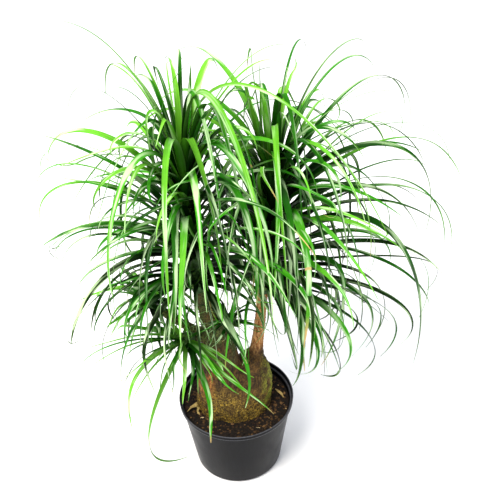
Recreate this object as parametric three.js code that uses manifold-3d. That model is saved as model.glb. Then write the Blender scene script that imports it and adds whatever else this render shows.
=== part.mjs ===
// A branched ponytail palm in a plastic nursery pot, in millimetres with +Z up.
// The origin is the centre of the pot's flat underside, and the plant's front faces -Y.
import * as THREE from "three";
import { mergeVertices } from "three/addons/utils/BufferGeometryUtils.js";
import Module from "manifold-3d";

const wasm = await Module();
wasm.setup();

const SEAT_GAP = 0.3; // between two pieces that touch

// Pot: a 19 cm thermoformed nursery pot
const POT_RIM_RADIUS = 95;
const POT_HEIGHT = 139;
const POT_BASE_RADIUS = 72;
const POT_WALL = 1.6;
const POT_BAND_HEIGHT = 9; // the turned-out band under the rim
const POT_BAND_STEP = 4;
const POT_BAND_DRAFT = 0.6;
const POT_LIP_ROUND = 1;
const POT_HEEL_RADIUS = 7; // the rounded edge of the base
const POT_HEEL_SWEEP = 82; // degrees of that edge, up to the sloping wall
const POT_SIDES = 36;
const DRAIN_HOLES = 6;
const DRAIN_HOLE_RADIUS = 5;
const DRAIN_RING_RADIUS = 52;

// Potting mix
const SOIL_LEVEL = 124;
const SOIL_LUMP = 1.8; // how far the surface rises and falls
const SOIL_RINGS = [80, 62, 42, 20, 0];

// Woody base: an oval bulb with a second lobe on its right, both widest near the soil
const BULB = {
  centre: [-4, 0],
  radii: [62, 50],
  heights: [90, 97, 108, 124, 146, 166, 186, 203, 216],
  swell: [0.42, 0.7, 0.9, 1, 1, 0.95, 0.82, 0.62, 0.34],
};
const RIGHT_LOBE = {
  centre: [27, 3],
  radii: [33, 34],
  heights: [112, 130, 155, 180, 200, 215, 226, 232],
  swell: [0.6, 0.9, 1, 1, 0.92, 0.78, 0.56, 0.3],
};
const BULB_SIDES = 20;
const BARK_RELIEF = 0.035; // share of the radius that the furrows take

// Trunks and side branches: centreline points, and the radius at each
const LEFT_TRUNK = {
  points: [
    [-16, -5, 130], [-20, -7, 175], [-24, -8, 215], [-25, -10, 255],
    [-29, -10, 295], [-38, -10, 345], [-46, -10, 384],
  ],
  radii: [42, 42, 37, 29.5, 19.5, 13.5, 11.5],
};
const RIGHT_TRUNK = {
  points: [[27, 4, 190], [33, 6, 218], [37, 9, 240], [42, 13, 275], [46, 17, 312], [50, 20, 348]],
  radii: [26, 16, 11, 9, 8.5, 8.8],
};
const LOW_STUB = { points: [[-36, -10, 284], [-50, -15, 288], [-62, -20, 292]], radii: [9, 8, 7.5] };
const SIDE_BRANCH = {
  points: [[-34, -6, 282], [-62, -1, 292], [-92, 10, 306], [-120, 21, 322]],
  radii: [9, 8, 7, 6.5],
};
const INNER_STUB = { points: [[-30, -11, 320], [-20, -20, 325], [-13, -26, 329]], radii: [6.5, 5.5, 5] };
const TRUNK_SIDES = 12;

// Main roots, from the underside of the bulb into the mix: turn, spread, depth, radius
const ROOTS = [
  [20, 42, 52, 8],
  [110, 36, 60, 7],
  [200, 44, 50, 8],
  [290, 38, 62, 7],
];
const ROOT_SPREAD = [0.15, 0.5, 0.8, 1]; // share of the spread, the depth and the radius along a root
const ROOT_DEPTH = [0, 0.35, 0.7, 1];
const ROOT_RADIUS = [1.3, 1, 0.7, 0.35];
const ROOT_SIDES = 7;

// Leaves: long straps, widest near the foot and drawn out to a thread
const BLADE_STATIONS = [0, 0.1, 0.26, 0.42, 0.57, 0.71, 0.85, 1];
const BLADE_FOOT_SHARE = 0.55; // width at the foot, as a share of the full width
const BLADE_FILL = 0.14; // share of the length in which it reaches full width
const BLADE_TAPER = 0.7;
const KEEL_DEPTH = [1.7, 0.75]; // at the foot and at the tip
const STEM_SIDES = 7;
const LEG_SHARES = [0.4, 0.33, 0.27]; // a leaf is stiff at the foot and curls towards its tip
const GOLDEN_ANGLE = 137.508;
const BLADE_CLEARANCE = 1.2;
const FRONT_LIFT = 12; // degrees by which the front leaves stand higher and the back ones hang lower
const FRONT_SHORT = 0.28; // share of their length that the leaves at the front lack
const DEEPEST_FALL = -108;
const STEM_STRAIGHT = 8; // length of stem that runs on square from its seat

// How much one leaf differs from the next: degrees, or a share of the value
const STRAY = { turn: 16, lift: 7, crest: 0.4, fall: 0.6, length: 0.16, sway: 9, twist: 26 };

// The open ground between two leafy heads: a point on each plane, and the way that it faces
const BETWEEN_CROWNS = { point: [6, 5, 0], normal: [0.77, 0.64, 0] };
const UNDER_LEFT_CROWN = { point: [0, 0, 351], normal: [0, 0, 1] };
const BESIDE_SIDE_BRANCH = { point: [-62, -9, 0], normal: [-0.37, -0.93, 0] };
const PAST_SIDE_BRANCH = { point: [-121, 21.5, 323], normal: [-0.87, 0.33, 0.47] };
const PAST_INNER_STUB = { point: [-13, -26, 329], normal: [0.7, -0.6, 0.4] };
const OVER_LOW_SHOOT = { point: [-42, -22, 309], normal: [0.6, 0, 0.8] };

// Leafy heads. stem: its length and lean above the seat. A rule grows `count` leaves up the stem,
// from the old ones at the foot to the young ones at the top; each pair gives both ends of a range.
// lift, crest and fall are the slopes of a leaf at its foot, middle and tip, in degrees, and stray
// is how much further than needed a leaf may stay from its neighbour's ground. openFront is how
// squarely a grown leaf may face the front, from 0 to 1: past it, only the placed leaves hang.
const HEADS = {
  crown_left: {
    seat: LEFT_TRUNK,
    stem: [[-50, -10, 420], [-53, -11, 470], [-56, -12, 525], [-57, -12, 556]],
    radii: [12.5, 12.5, 10.5, 7, 3],
    count: 56,
    seed: 3505,
    start: 200,
    lift: [10, 86],
    crestDrop: [72, 58],
    fallDrop: [56, 84],
    length: [240, 320],
    stray: 45,
    width: [10, 16],
    openFront: 0.8,
    keepTo: [[BETWEEN_CROWNS, -1], [UNDER_LEFT_CROWN, 1]],
  },
  crown_right: {
    seat: RIGHT_TRUNK,
    stem: [[54, 21, 385], [59, 22, 430], [65, 23, 475], [70, 23, 510], [72, 23, 532]],
    radii: [11, 12.5, 12, 10, 7, 3],
    count: 67,
    seed: 4689,
    start: 40,
    lift: [10, 86],
    crestDrop: [72, 58],
    fallDrop: [56, 84],
    length: [320, 415],
    stray: 45,
    width: [10, 16],
    openFront: 0.8,
    keepTo: [[BETWEEN_CROWNS, 1]],
  },
  shoot_low: {
    seat: LOW_STUB,
    stem: [[-72, -27, 295], [-78, -33, 297]],
    radii: [8.5, 8, 4],
    count: 13,
    seed: 907,
    start: 150,
    lift: [-30, 35],
    crestDrop: [30, 30],
    fallDrop: [40, 50],
    length: [130, 230],
    stray: 12,
    width: [7, 10],
    keepTo: [[UNDER_LEFT_CROWN, -1], [BESIDE_SIDE_BRANCH, 1], [OVER_LOW_SHOOT, -1]],
  },
  shoot_side: {
    seat: SIDE_BRANCH,
    stem: [[-130, 25, 329], [-137, 28, 334]],
    radii: [7.5, 7, 4],
    count: 11,
    seed: 613,
    start: 170,
    lift: [-25, 50],
    crestDrop: [30, 30],
    fallDrop: [40, 50],
    length: [110, 190],
    stray: 12,
    width: [6, 9],
    keepTo: [[UNDER_LEFT_CROWN, -1], [BESIDE_SIDE_BRANCH, -1], [PAST_SIDE_BRANCH, 1]],
  },
  shoot_inner: {
    seat: INNER_STUB,
    stem: [[-7, -30, 332], [-2, -33, 334]],
    radii: [6, 5.5, 3],
    count: 9,
    seed: 271,
    start: -60,
    lift: [-15, 45],
    crestDrop: [25, 30],
    fallDrop: [30, 40],
    length: [50, 95],
    stray: 8,
    width: [5, 8],
    keepTo: [[UNDER_LEFT_CROWN, -1], [OVER_LOW_SHOOT, 1], [BETWEEN_CROWNS, -1], [PAST_INNER_STUB, 1]],
  },
};

// The leaves that draw the plant's outline and those that fold over and hang in front, placed one by
// one: height on the stem, turn, lift, crest, fall, length, width, sway
const CHOSEN_LEAVES = {
  crown_left: [
    [0.9, 171, 86, 70, 8, 372, 13, 0],
    [0.88, 150, 90, 38, -90, 455, 13, 0],
    [0.55, 175, 66, 40, 2, 292, 12, 0],
    [0.75, 170, 68, 18, -82, 385, 14, 0],
    [0.45, 180, 62, 36, 0, 260, 12, 0],
    [0.95, 62, 88, 80, 50, 210, 18, 0],
    [0.35, 205, 40, -70, -75, 420, 14, 0],
    [0.5, 186, 38, 5, -50, 270, 13, 0],
    [0.95, -40, 89, -62, -92, 1000, 13, 0],
    [0.8, -35, 88, -45, -96, 650, 16, 0],
    [0.75, 215, 84, -52, -98, 640, 14, 0],
    [0.9, 185, 88, -66, -80, 760, 11, 0],
    [0.85, -100, 88, -46, -93, 715, 13, 0],
    [0.5, -95, 74, -64, -94, 500, 15, 0],
    [0.6, -60, 84, -60, -97, 640, 14, 0],
    [0.4, -130, 70, -64, -94, 480, 14, 0],
  ],
  crown_right: [
    [0.45, 118, 86, 86, 84, 320, 17, 0],
    [0.92, 40, 80, 2, -70, 330, 11, 0],
    [0.85, 30, 64, 20, -86, 450, 13, 0],
    [0.82, 5, 54, -42, -106, 570, 17, 0],
    [0.75, 20, 40, -10, -72, 445, 14, 0],
    [0.55, 0, 36, -12, -60, 350, 13, 0],
    [0.65, 10, 27, -24, -95, 450, 14, 0],
    [0.45, -15, 44, -78, -95, 690, 17, 0],
    [0.2, -20, 40, -94, -115, 520, 12, 0],
    [0.45, -70, 80, -66, -90, 460, 18, 0],
    [0.1, -60, 60, -86, -88, 450, 14, 0],
    [0.95, -60, 90, -74, -92, 980, 14, 0],
    [0.85, -45, 86, -48, -97, 640, 13, 0],
    [0.6, -50, 80, -56, -95, 560, 15, 0],
    [0.6, -80, 82, -62, -95, 600, 17, 0],
    [0.35, -75, 66, -66, -93, 480, 14, 0],
    [0.75, -100, 86, -60, -96, 640, 14, 0],
    [0.5, -28, 70, -58, -94, 520, 14, 0],
  ],
  shoot_low: [
    [0.5, 190, 32, -12, -36, 195, 9, 0],
    [0.5, 225, -40, -86, -165, 385, 12, 0],
    [0.5, 205, 0, -82, -98, 260, 9, 0],
    [0.5, 262, -30, -70, -90, 115, 9, 0],
    [0.6, 295, -20, -72, -102, 205, 12, 0],
    [0.6, 312, -5, -22, -25, 190, 10, 16],
  ],
};

const MATERIALS = {
  plastic: new THREE.MeshStandardMaterial({ color: 0x26272a, roughness: 0.45, metalness: 0 }),
  mix: new THREE.MeshStandardMaterial({ color: 0x3a2a20, roughness: 0.95, metalness: 0 }),
  bark: new THREE.MeshStandardMaterial({ color: 0x7c6138, roughness: 0.85, metalness: 0 }),
  leaf: new THREE.MeshStandardMaterial({ color: 0x4f9a2a, roughness: 0.42, metalness: 0 }),
};

// Small helpers

const rad = THREE.MathUtils.degToRad;
const mix = THREE.MathUtils.lerp;
const vec = (p) => new THREE.Vector3(...p);

function seededRandom(seed) {
  let state = seed;
  return () => {
    state = (state * 48271) % 2147483647;
    return state / 2147483647;
  };
}

// A direction from a turn about Z and a slope above the level, both in degrees.
function direction(turn, slope) {
  const flat = Math.cos(rad(slope));
  return new THREE.Vector3(Math.cos(rad(turn)) * flat, Math.sin(rad(turn)) * flat, Math.sin(rad(slope)));
}

// Solids

function solidOf(geometry) {
  const bare = geometry.index ? geometry.toNonIndexed() : geometry.clone();
  bare.deleteAttribute("normal");
  bare.deleteAttribute("uv");
  const merged = mergeVertices(bare, 1e-4);
  const vertProperties = merged.attributes.position.array;
  const solidFrom = (triVerts) => new wasm.Manifold(new wasm.Mesh({ numProp: 3, vertProperties, triVerts }));
  const triVerts = new Uint32Array(merged.index.array);
  const solid = solidFrom(triVerts);
  return solid.volume() < 0 ? solidFrom(triVerts.reverse()) : solid;
}

function meshOf(name, solid, material) {
  const { vertProperties, triVerts } = solid.getMesh();
  const geometry = new THREE.BufferGeometry();
  geometry.setAttribute("position", new THREE.BufferAttribute(new Float32Array(vertProperties), 3));
  geometry.setIndex(new THREE.BufferAttribute(new Uint32Array(triVerts), 1));
  geometry.computeVertexNormals();
  const mesh = new THREE.Mesh(geometry, material);
  mesh.name = name;
  return mesh;
}

const joined = (solids) => solids.reduce((whole, next) => whole.add(next));

// Fused leaves can close a small pocket between them: the largest skin alone fills it.
const larger = (one, other) => (other.volume() > one.volume() ? other : one);
const filled = (solid) => solid.decompose().reduce(larger);

// A closed skin over rings of points; a ring of one point is a tip.
function loft(rings) {
  const positions = rings.flat().flatMap((p) => [p.x, p.y, p.z]);
  const faces = [];
  let first = 0;
  for (let i = 0; i + 1 < rings.length; i++) {
    const here = rings[i].length;
    const there = rings[i + 1].length;
    for (let k = 0; k < here; k++) {
      const next = (k + 1) % here;
      if (there === 1) {
        faces.push(first + k, first + next, first + here);
      } else {
        faces.push(first + k, first + next, first + here + next);
        faces.push(first + k, first + here + next, first + here + k);
      }
    }
    first += here;
  }
  capOff(faces, 0, rings[0].length, true);
  capOff(faces, first, rings.at(-1).length, false);
  const geometry = new THREE.BufferGeometry();
  geometry.setAttribute("position", new THREE.Float32BufferAttribute(positions, 3));
  geometry.setIndex(faces);
  return solidOf(geometry);
}

function capOff(faces, first, count, isStart) {
  for (let k = 1; k + 1 < count; k++) {
    if (isStart) faces.push(first, first + k + 1, first + k);
    else faces.push(first, first + k, first + k + 1);
  }
}

// A round tube through points, square to its first and last stretch, with a radius at each point.
function tube({ points, radii }, sides, furrow = 0, grow = 0) {
  const path = points.map(vec);
  const rings = path.map((centre, i) => {
    const ahead = path[Math.min(i + 1, path.length - 1)];
    const behind = path[Math.max(i - 1, 0)];
    const along = ahead.clone().sub(behind).normalize();
    const across = new THREE.Vector3(0, 1, 0).cross(along).normalize();
    const up = along.clone().cross(across);
    return Array.from({ length: sides }, (_, k) => {
      const angle = (k / sides) * 2 * Math.PI;
      const radius = radii[i] * (1 + furrow * furrowAt(angle, i)) + grow;
      const point = centre.clone().addScaledVector(across, radius * Math.cos(angle));
      return point.addScaledVector(up, radius * Math.sin(angle));
    });
  });
  return loft(rings);
}

// Furrows that run up the bark and wander a little from ring to ring.
const furrowAt = (angle, ring) =>
  0.6 * Math.sin(5 * angle + 0.7 * ring) + 0.4 * Math.sin(9 * angle - 1.1 * ring);

// Pot

function potSolid() {
  const wallTopRadius = POT_RIM_RADIUS - POT_BAND_STEP;
  const bandFoot = POT_HEIGHT - POT_BAND_HEIGHT;
  const bandFootRadius = POT_RIM_RADIUS - POT_BAND_DRAFT;
  const innerHeel = heelArc(POT_BASE_RADIUS - POT_WALL, POT_HEEL_RADIUS - POT_WALL, POT_WALL);
  const profile = [
    [0, 0],
    ...heelArc(POT_BASE_RADIUS, POT_HEEL_RADIUS, 0),
    [wallTopRadius, bandFoot],
    [bandFootRadius, bandFoot + POT_LIP_ROUND],
    [POT_RIM_RADIUS, POT_HEIGHT - POT_LIP_ROUND],
    [POT_RIM_RADIUS - POT_LIP_ROUND, POT_HEIGHT],
    [POT_RIM_RADIUS - POT_WALL, POT_HEIGHT],
    [bandFootRadius - POT_WALL, bandFoot + POT_LIP_ROUND + POT_WALL],
    [wallTopRadius - POT_WALL, bandFoot],
    ...innerHeel.reverse(),
    [0, POT_WALL],
  ].map(([r, z]) => new THREE.Vector2(r, z));
  const shell = solidOf(new THREE.LatheGeometry(profile, POT_SIDES).rotateX(Math.PI / 2));
  return shell.subtract(joined(drainCutters()));
}

// The rounded edge between the floor and the wall, as points from the floor outwards.
function heelArc(radius, round, floor) {
  return [0, 1 / 3, 2 / 3, 1].map((t) => {
    const angle = rad(POT_HEEL_SWEEP * t - 90);
    return [radius - round + round * Math.cos(angle), floor + round + round * Math.sin(angle)];
  });
}

function drainCutters() {
  return Array.from({ length: DRAIN_HOLES }, (_, i) => {
    const angle = (i / DRAIN_HOLES) * 2 * Math.PI;
    const hole = new THREE.CylinderGeometry(DRAIN_HOLE_RADIUS, DRAIN_HOLE_RADIUS, 4 * POT_WALL, 8);
    hole.rotateX(Math.PI / 2);
    hole.translate(DRAIN_RING_RADIUS * Math.cos(angle), DRAIN_RING_RADIUS * Math.sin(angle), 0);
    return solidOf(hole);
  });
}

// Potting mix: it fills the pot, and the bulb and its roots stand in a plain hole in it

function soilSolid() {
  const floor = POT_WALL + SEAT_GAP;
  const wallHeight = POT_HEIGHT - POT_BAND_HEIGHT - POT_HEEL_RADIUS;
  const slope = (POT_RIM_RADIUS - POT_BAND_STEP - POT_BASE_RADIUS) / wallHeight;
  const side = (z) => POT_BASE_RADIUS + slope * (z - POT_HEEL_RADIUS) - POT_WALL - 2 * SEAT_GAP;
  const profile = [
    [0, floor],
    [side(0) - POT_HEEL_RADIUS, floor],
    [side(POT_HEEL_RADIUS) - 1, POT_HEEL_RADIUS + 2],
    [side(SOIL_LEVEL), SOIL_LEVEL - 1],
    ...SOIL_RINGS.map((r) => [r, SOIL_LEVEL]),
  ].map(([r, z]) => new THREE.Vector2(r, z));
  const lathe = new THREE.LatheGeometry(profile, POT_SIDES);
  lathe.rotateX(Math.PI / 2);
  const position = lathe.attributes.position;
  for (let i = 0; i < position.count; i++) {
    if (position.getZ(i) > SOIL_LEVEL - 0.5) {
      position.setZ(i, SOIL_LEVEL + SOIL_LUMP * soilLump(position.getX(i), position.getY(i)));
    }
  }
  return solidOf(lathe).subtract(joined(buriedWood(SEAT_GAP)));
}

const soilLump = (x, y) =>
  0.5 * Math.sin(0.11 * x + 1.3) * Math.cos(0.13 * y) + 0.5 * Math.sin(0.23 * x - 0.19 * y + 0.6);

// Woody base and trunks, one grown piece

function bulbSolid({ centre, radii, heights, swell }, grow = 0) {
  const rings = heights.map((z, i) =>
    Array.from({ length: BULB_SIDES }, (_, k) => {
      const angle = (k / BULB_SIDES) * 2 * Math.PI;
      const share = swell[i] * (1 + BARK_RELIEF * furrowAt(angle, i));
      const x = centre[0] + (radii[0] * share + grow) * Math.cos(angle);
      return new THREE.Vector3(x, centre[1] + (radii[1] * share + grow) * Math.sin(angle), z);
    }),
  );
  if (grow) rings[0].forEach((p) => (p.z -= grow));
  return loft(rings);
}

function rootSolid([turn, spread, depth, radius], grow = 0) {
  const out = direction(turn, 0);
  const foot = new THREE.Vector3(BULB.centre[0], BULB.centre[1], BULB.heights[2]);
  const points = ROOT_SPREAD.map((share, i) => {
    const height = foot.z - depth * ROOT_DEPTH[i];
    return foot.clone().addScaledVector(out, spread * share).setZ(height).toArray();
  });
  const end = vec(points.at(-1));
  const last = end.clone().sub(vec(points.at(-2))).normalize();
  points[points.length - 1] = end.addScaledVector(last, grow).toArray();
  return tube({ points, radii: ROOT_RADIUS.map((share) => share * radius) }, ROOT_SIDES, 0, grow);
}

const buriedWood = (grow) => [
  bulbSolid(BULB, grow),
  bulbSolid(RIGHT_LOBE, grow),
  ...ROOTS.map((root) => rootSolid(root, grow)),
];

function caudexSolid() {
  const branches = [LEFT_TRUNK, RIGHT_TRUNK, LOW_STUB, SIDE_BRANCH, INNER_STUB];
  return joined([...buriedWood(0), ...branches.map((branch) => tube(branch, TRUNK_SIDES, BARK_RELIEF))]);
}

// Leafy heads

// The stem of a head, from its seat on the wood to its growing tip.
function stemPath({ seat, stem }) {
  const end = vec(seat.points.at(-1));
  const along = end.clone().sub(vec(seat.points.at(-2))).normalize();
  const foot = end.clone().addScaledVector(along, SEAT_GAP);
  const straight = end.clone().addScaledVector(along, STEM_STRAIGHT);
  return [foot, straight, ...stem.map(vec)];
}

// A point on a line of straight stretches, at a share of the way from its second point.
function pointAlong(path, share) {
  const place = 1 + Math.min(share, 0.9999) * (path.length - 2);
  const i = Math.floor(place);
  return path[i].clone().lerp(path[i + 1], place - i);
}

// The four points that steer a leaf, each kept on its own side of the open ground.
function steerLeaf(head, path, leaf) {
  const points = [pointAlong(path, leaf.height)];
  [leaf.lift, leaf.crest, leaf.fall].forEach((slope, i) => {
    const turn = leaf.turn + leaf.sway * i;
    points.push(points[i].clone().addScaledVector(direction(turn, slope), leaf.length * LEG_SHARES[i]));
  });
  for (const point of points.slice(1)) {
    for (const [plane, way] of head.keepTo) {
      const normal = vec(plane.normal).multiplyScalar(way).normalize();
      const clear = point.clone().sub(vec(plane.point)).dot(normal);
      const short = leaf.width / 2 + BLADE_CLEARANCE + leaf.spare - clear;
      if (short > 0) point.addScaledVector(normal, short);
    }
  }
  return new THREE.CubicBezierCurve3(...points);
}

function bladeSolid(curve, leaf) {
  const rings = BLADE_STATIONS.map((t) => {
    const centre = curve.getPoint(t);
    if (t === 1) return [centre];
    const along = curve.getTangent(t);
    const turn = rad(leaf.turn + leaf.sway * 1.5 * t);
    const level = new THREE.Vector3(-Math.sin(turn), Math.cos(turn), 0);
    const across = level.addScaledVector(along, -level.dot(along)).normalize();
    across.applyAxisAngle(along, rad(leaf.twist * t));
    const upper = along.clone().cross(across);
    const fill = Math.min(1, BLADE_FOOT_SHARE + ((1 - BLADE_FOOT_SHARE) * t) / BLADE_FILL);
    const half = Math.max(0.9, 0.5 * leaf.width * fill * (1 - t) ** BLADE_TAPER);
    const keel = mix(...KEEL_DEPTH, t);
    return [
      centre.clone().addScaledVector(across, -half),
      centre.clone().addScaledVector(across, half),
      centre.clone().addScaledVector(upper, -keel),
    ];
  });
  return loft(rings);
}

// The leaves that a head's rule grows, from old and low to young and upright.
function grownLeaves(head) {
  const random = seededRandom(head.seed);
  const either = () => 2 * random() - 1;
  const grown = Array.from({ length: head.count }, (_, i) => {
    const age = (i + 0.5) / head.count;
    const turn = head.start + GOLDEN_ANGLE * i + STRAY.turn * either();
    const facing = -Math.sin(rad(turn));
    const leaning = STRAY.lift * either() + FRONT_LIFT * facing * (1 - 0.6 * age);
    const lift = mix(...head.lift, age ** 0.85) + leaning;
    const crest = lift - mix(...head.crestDrop, age) * (1 + STRAY.crest * either()) + FRONT_LIFT * facing;
    const drooping = mix(...head.fallDrop, age) * (1 + STRAY.fall * either());
    const fall = Math.max(DEEPEST_FALL, crest - drooping);
    const shortening = (1 + STRAY.length * either()) * (1 - FRONT_SHORT * Math.max(0, facing));
    const length = mix(...head.length, age ** 0.6) * shortening;
    const width = mix(...head.width, random());
    const sway = STRAY.sway * either();
    const twist = STRAY.twist * either();
    const spare = head.stray * random() ** 2;
    return { height: age * 0.97, turn, facing, lift, crest, fall, length, width, sway, twist, spare };
  });
  return grown.filter((leaf) => leaf.facing < (head.openFront ?? 2));
}

function chosenLeaves(name) {
  return (CHOSEN_LEAVES[name] ?? []).map(([height, turn, lift, crest, fall, length, width, sway]) => ({
    height, turn, lift, crest, fall, length, width, sway, twist: 0, spare: 0,
  }));
}

function headSolid(name) {
  const head = HEADS[name];
  const path = stemPath(head);
  const firstRadius = head.seat.radii.at(-1);
  const points = path.map((p) => p.toArray());
  const core = tube({ points, radii: [firstRadius, ...head.radii] }, STEM_SIDES);
  const leaves = [...chosenLeaves(name), ...grownLeaves(head)];
  return filled(joined([core, ...leaves.map((leaf) => bladeSolid(steerLeaf(head, path, leaf), leaf))]));
}

const plant = new THREE.Group();
plant.add(meshOf("pot", potSolid(), MATERIALS.plastic));
plant.add(meshOf("soil", soilSolid(), MATERIALS.mix));
plant.add(meshOf("caudex", caudexSolid(), MATERIALS.bark));
for (const name of Object.keys(HEADS)) plant.add(meshOf(name, headSolid(name), MATERIALS.leaf));

export default plant;
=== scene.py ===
import math
from functools import partial

import bmesh
import bpy
import numpy as np
from mathutils import Matrix, Vector, noise


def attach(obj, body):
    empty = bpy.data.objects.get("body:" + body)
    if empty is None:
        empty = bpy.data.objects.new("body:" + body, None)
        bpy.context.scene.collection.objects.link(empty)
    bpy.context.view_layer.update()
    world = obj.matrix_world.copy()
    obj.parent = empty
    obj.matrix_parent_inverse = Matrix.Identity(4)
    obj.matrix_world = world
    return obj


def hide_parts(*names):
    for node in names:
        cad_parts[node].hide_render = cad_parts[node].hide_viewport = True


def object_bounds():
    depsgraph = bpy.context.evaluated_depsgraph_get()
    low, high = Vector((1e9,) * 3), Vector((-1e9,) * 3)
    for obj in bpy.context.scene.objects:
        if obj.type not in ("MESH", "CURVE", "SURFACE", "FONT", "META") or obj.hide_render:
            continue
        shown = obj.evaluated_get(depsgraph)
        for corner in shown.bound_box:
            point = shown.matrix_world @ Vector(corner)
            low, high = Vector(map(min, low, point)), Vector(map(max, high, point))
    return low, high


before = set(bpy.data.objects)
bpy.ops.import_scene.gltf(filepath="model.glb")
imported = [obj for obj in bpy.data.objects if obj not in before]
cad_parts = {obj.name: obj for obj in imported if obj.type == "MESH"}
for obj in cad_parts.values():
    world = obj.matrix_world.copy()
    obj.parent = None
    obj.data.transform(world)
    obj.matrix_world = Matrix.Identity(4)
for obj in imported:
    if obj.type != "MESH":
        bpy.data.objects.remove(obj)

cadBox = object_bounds()
scene = bpy.context.scene


# Shared helpers

def linearColour(hexText):
    channels = [int(hexText[i:i + 2], 16) / 255 for i in (1, 3, 5)]
    return tuple(c / 12.92 if c <= 0.04045 else ((c + 0.055) / 1.055) ** 2.4 for c in channels) + (1.0,)


# Sets a node's inputs, in order or by name or number, to values, hex colours, outputs, or nodes, of which
# the first live output is meant.
def setInputs(node, inputs):
    for key, value in (inputs if isinstance(inputs, dict) else dict(enumerate(inputs))).items():
        if isinstance(value, bpy.types.Node):
            value = next(output for output in value.outputs if output.enabled)
        if isinstance(value, bpy.types.NodeSocket):
            node.id_data.links.new(value, node.inputs[key])
        elif isinstance(value, str) and value.startswith("#"):
            node.inputs[key].default_value = linearColour(value)
        else:
            node.inputs[key].default_value = value


# Adds a node with its settings and inputs; a colour ramp's stops are pairs of place and colour.
def addNode(tree, kind, inputs=(), stops=(), **settings):
    node = tree.nodes.new(kind)
    for name, value in settings.items():
        setattr(node, name, value)
    setInputs(node, inputs)
    if stops:
        ramp = node.color_ramp.elements
        for stop, (place, colour) in zip(ramp, (stops[0], stops[-1])):
            stop.position, stop.color = place, linearColour(colour)
        for place, colour in stops[1:-1]:
            ramp.new(place).color = linearColour(colour)
    return node


def newObject(name, data):
    made = bpy.data.objects.new(name, data)
    scene.collection.objects.link(made)
    return made


# A mesh from places in millimetres.
def newMesh(name, places, faces=(), edges=()):
    mesh = bpy.data.meshes.new(name)
    mesh.from_pydata((np.array(places, float) / 1000).tolist(), list(edges), list(faces))
    return mesh


def meshOf(work, name):
    mesh = bpy.data.meshes.new(name)
    work.to_mesh(mesh)
    work.free()
    return mesh


# A material, what adds a shader node to it, its place on the object, and the attributes it reads.
def newMaterial(name, *attributes):
    material = bpy.data.materials.new(name)
    material.use_nodes = True
    add = lambda kind, *inputs, **settings: addNode(
        material.node_tree, "ShaderNode" + kind, *inputs, **settings)
    values = [add("Attribute", attribute_name=key).outputs["Fac"] for key in attributes]
    return material, add, add("TexCoord").outputs["Object"], *values


def withSurface(material, inputs):
    setInputs(material.node_tree.nodes["Principled BSDF"], inputs)
    return material


# A tree with named inputs beside its carrier, what adds a node to it, and those inputs.
def treeWith(name, **kinds):
    tree = bpy.data.node_groups.new(name, "GeometryNodeTree")
    for title, kind in (("Carrier", "Geometry"), *kinds.items()):
        tree.interface.new_socket(title, in_out="INPUT", socket_type="NodeSocket" + kind)
    tree.interface.new_socket("Result", in_out="OUTPUT", socket_type="NodeSocketGeometry")
    add = partial(addNode, tree)
    return tree, add, add("NodeGroupInput").outputs


def endTree(tree, geometry, material):
    whole = addNode(tree, "GeometryNodeRealizeInstances", {"Geometry": geometry})
    dressed = addNode(tree, "GeometryNodeSetMaterial", {"Geometry": whole, "Material": material})
    addNode(tree, "NodeGroupOutput", {0: dressed})
    return tree


def evaluated(carrier, **keep):
    bpy.context.view_layer.update()
    graph = bpy.context.evaluated_depsgraph_get()
    return bpy.data.meshes.new_from_object(carrier.evaluated_get(graph), depsgraph=graph, **keep)


def smoothShade(mesh, sharpAngle):
    mesh.shade_smooth()
    mesh.set_sharp_from_angle(angle=math.radians(sharpAngle))


# Runs a Geometry Nodes tree on a carrier, which then goes, and hands back its result as a plain mesh object.
def grown(name, carrier, tree, inputs, sharpAngle=None):
    modifier = carrier.modifiers.new("grow", "NODES")
    modifier.node_group = tree
    for item in tree.interface.items_tree:
        if item.item_type == "SOCKET" and item.in_out == "INPUT" and item.name in inputs:
            modifier[item.identifier] = inputs[item.name]
    mesh = evaluated(carrier, preserve_all_data_layers=True)
    carrier.modifiers.remove(modifier)
    bpy.data.objects.remove(carrier)
    mesh.name = name
    if sharpAngle:
        smoothShade(mesh, sharpAngle)
    return newObject(name, mesh)


def setAttribute(mesh, name, kind, values):
    layer = mesh.attributes.new(name, kind, "POINT")
    key = "vector" if kind == "FLOAT_VECTOR" else "value"
    layer.data.foreach_set(key, np.asarray(values, np.float32).ravel())


def smoothstep(low, high, value):
    t = np.clip((np.asarray(value, float) - low) / (high - low), 0, 1)
    return t * t * (3 - 2 * t)


def finished(piece, slot, *nodes):
    if nodes:
        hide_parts(*nodes)
    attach(piece, "root")


# Camera, light and floor

view = {"position": (0.032, -1.2789, 1.4753), "downwards": 38.8, "roll": -2.15, "lens": 79.2, "sensor": 36}


def setCamera():
    down, roll = math.radians(view["downwards"]), math.radians(view["roll"])
    forward = Vector((0, math.cos(down), -math.sin(down)))
    level = Vector((1, 0, 0))
    above = level.cross(forward)
    right = level * math.cos(roll) + above * math.sin(roll)
    up = above * math.cos(roll) - level * math.sin(roll)
    data = bpy.data.cameras.new("camera")
    data.lens, data.sensor_width = view["lens"], view["sensor"]
    camera = newObject("camera", data)
    turned = Matrix((right, up, -forward)).transposed().to_4x4()
    camera.matrix_world = Matrix.Translation(view["position"]) @ turned
    scene.camera = camera


studio = {
    "floor": 4000,  # half its width in mm
    "world": "#f4f7ff", "worldStrength": 0.4,
    # place, what it aims at, size, power in watts, colour
    "lamps": [
        ((-1.1, -1.3, 2.9), (0, 0, 0.4), 1.8, 165, "#fffaf2"),
        ((-0.7, -2.9, 0.7), (0, 0, 0.4), 1.7, 24, "#ffffff"),
        ((1.9, -1.3, 1.9), (0, 0, 0.4), 1.6, 18, "#f2f6ff"),
        ((0.2, 0.9, 3.0), (0, 0, 0.5), 1.8, 58, "#ffffff"),
    ],
}


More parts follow.
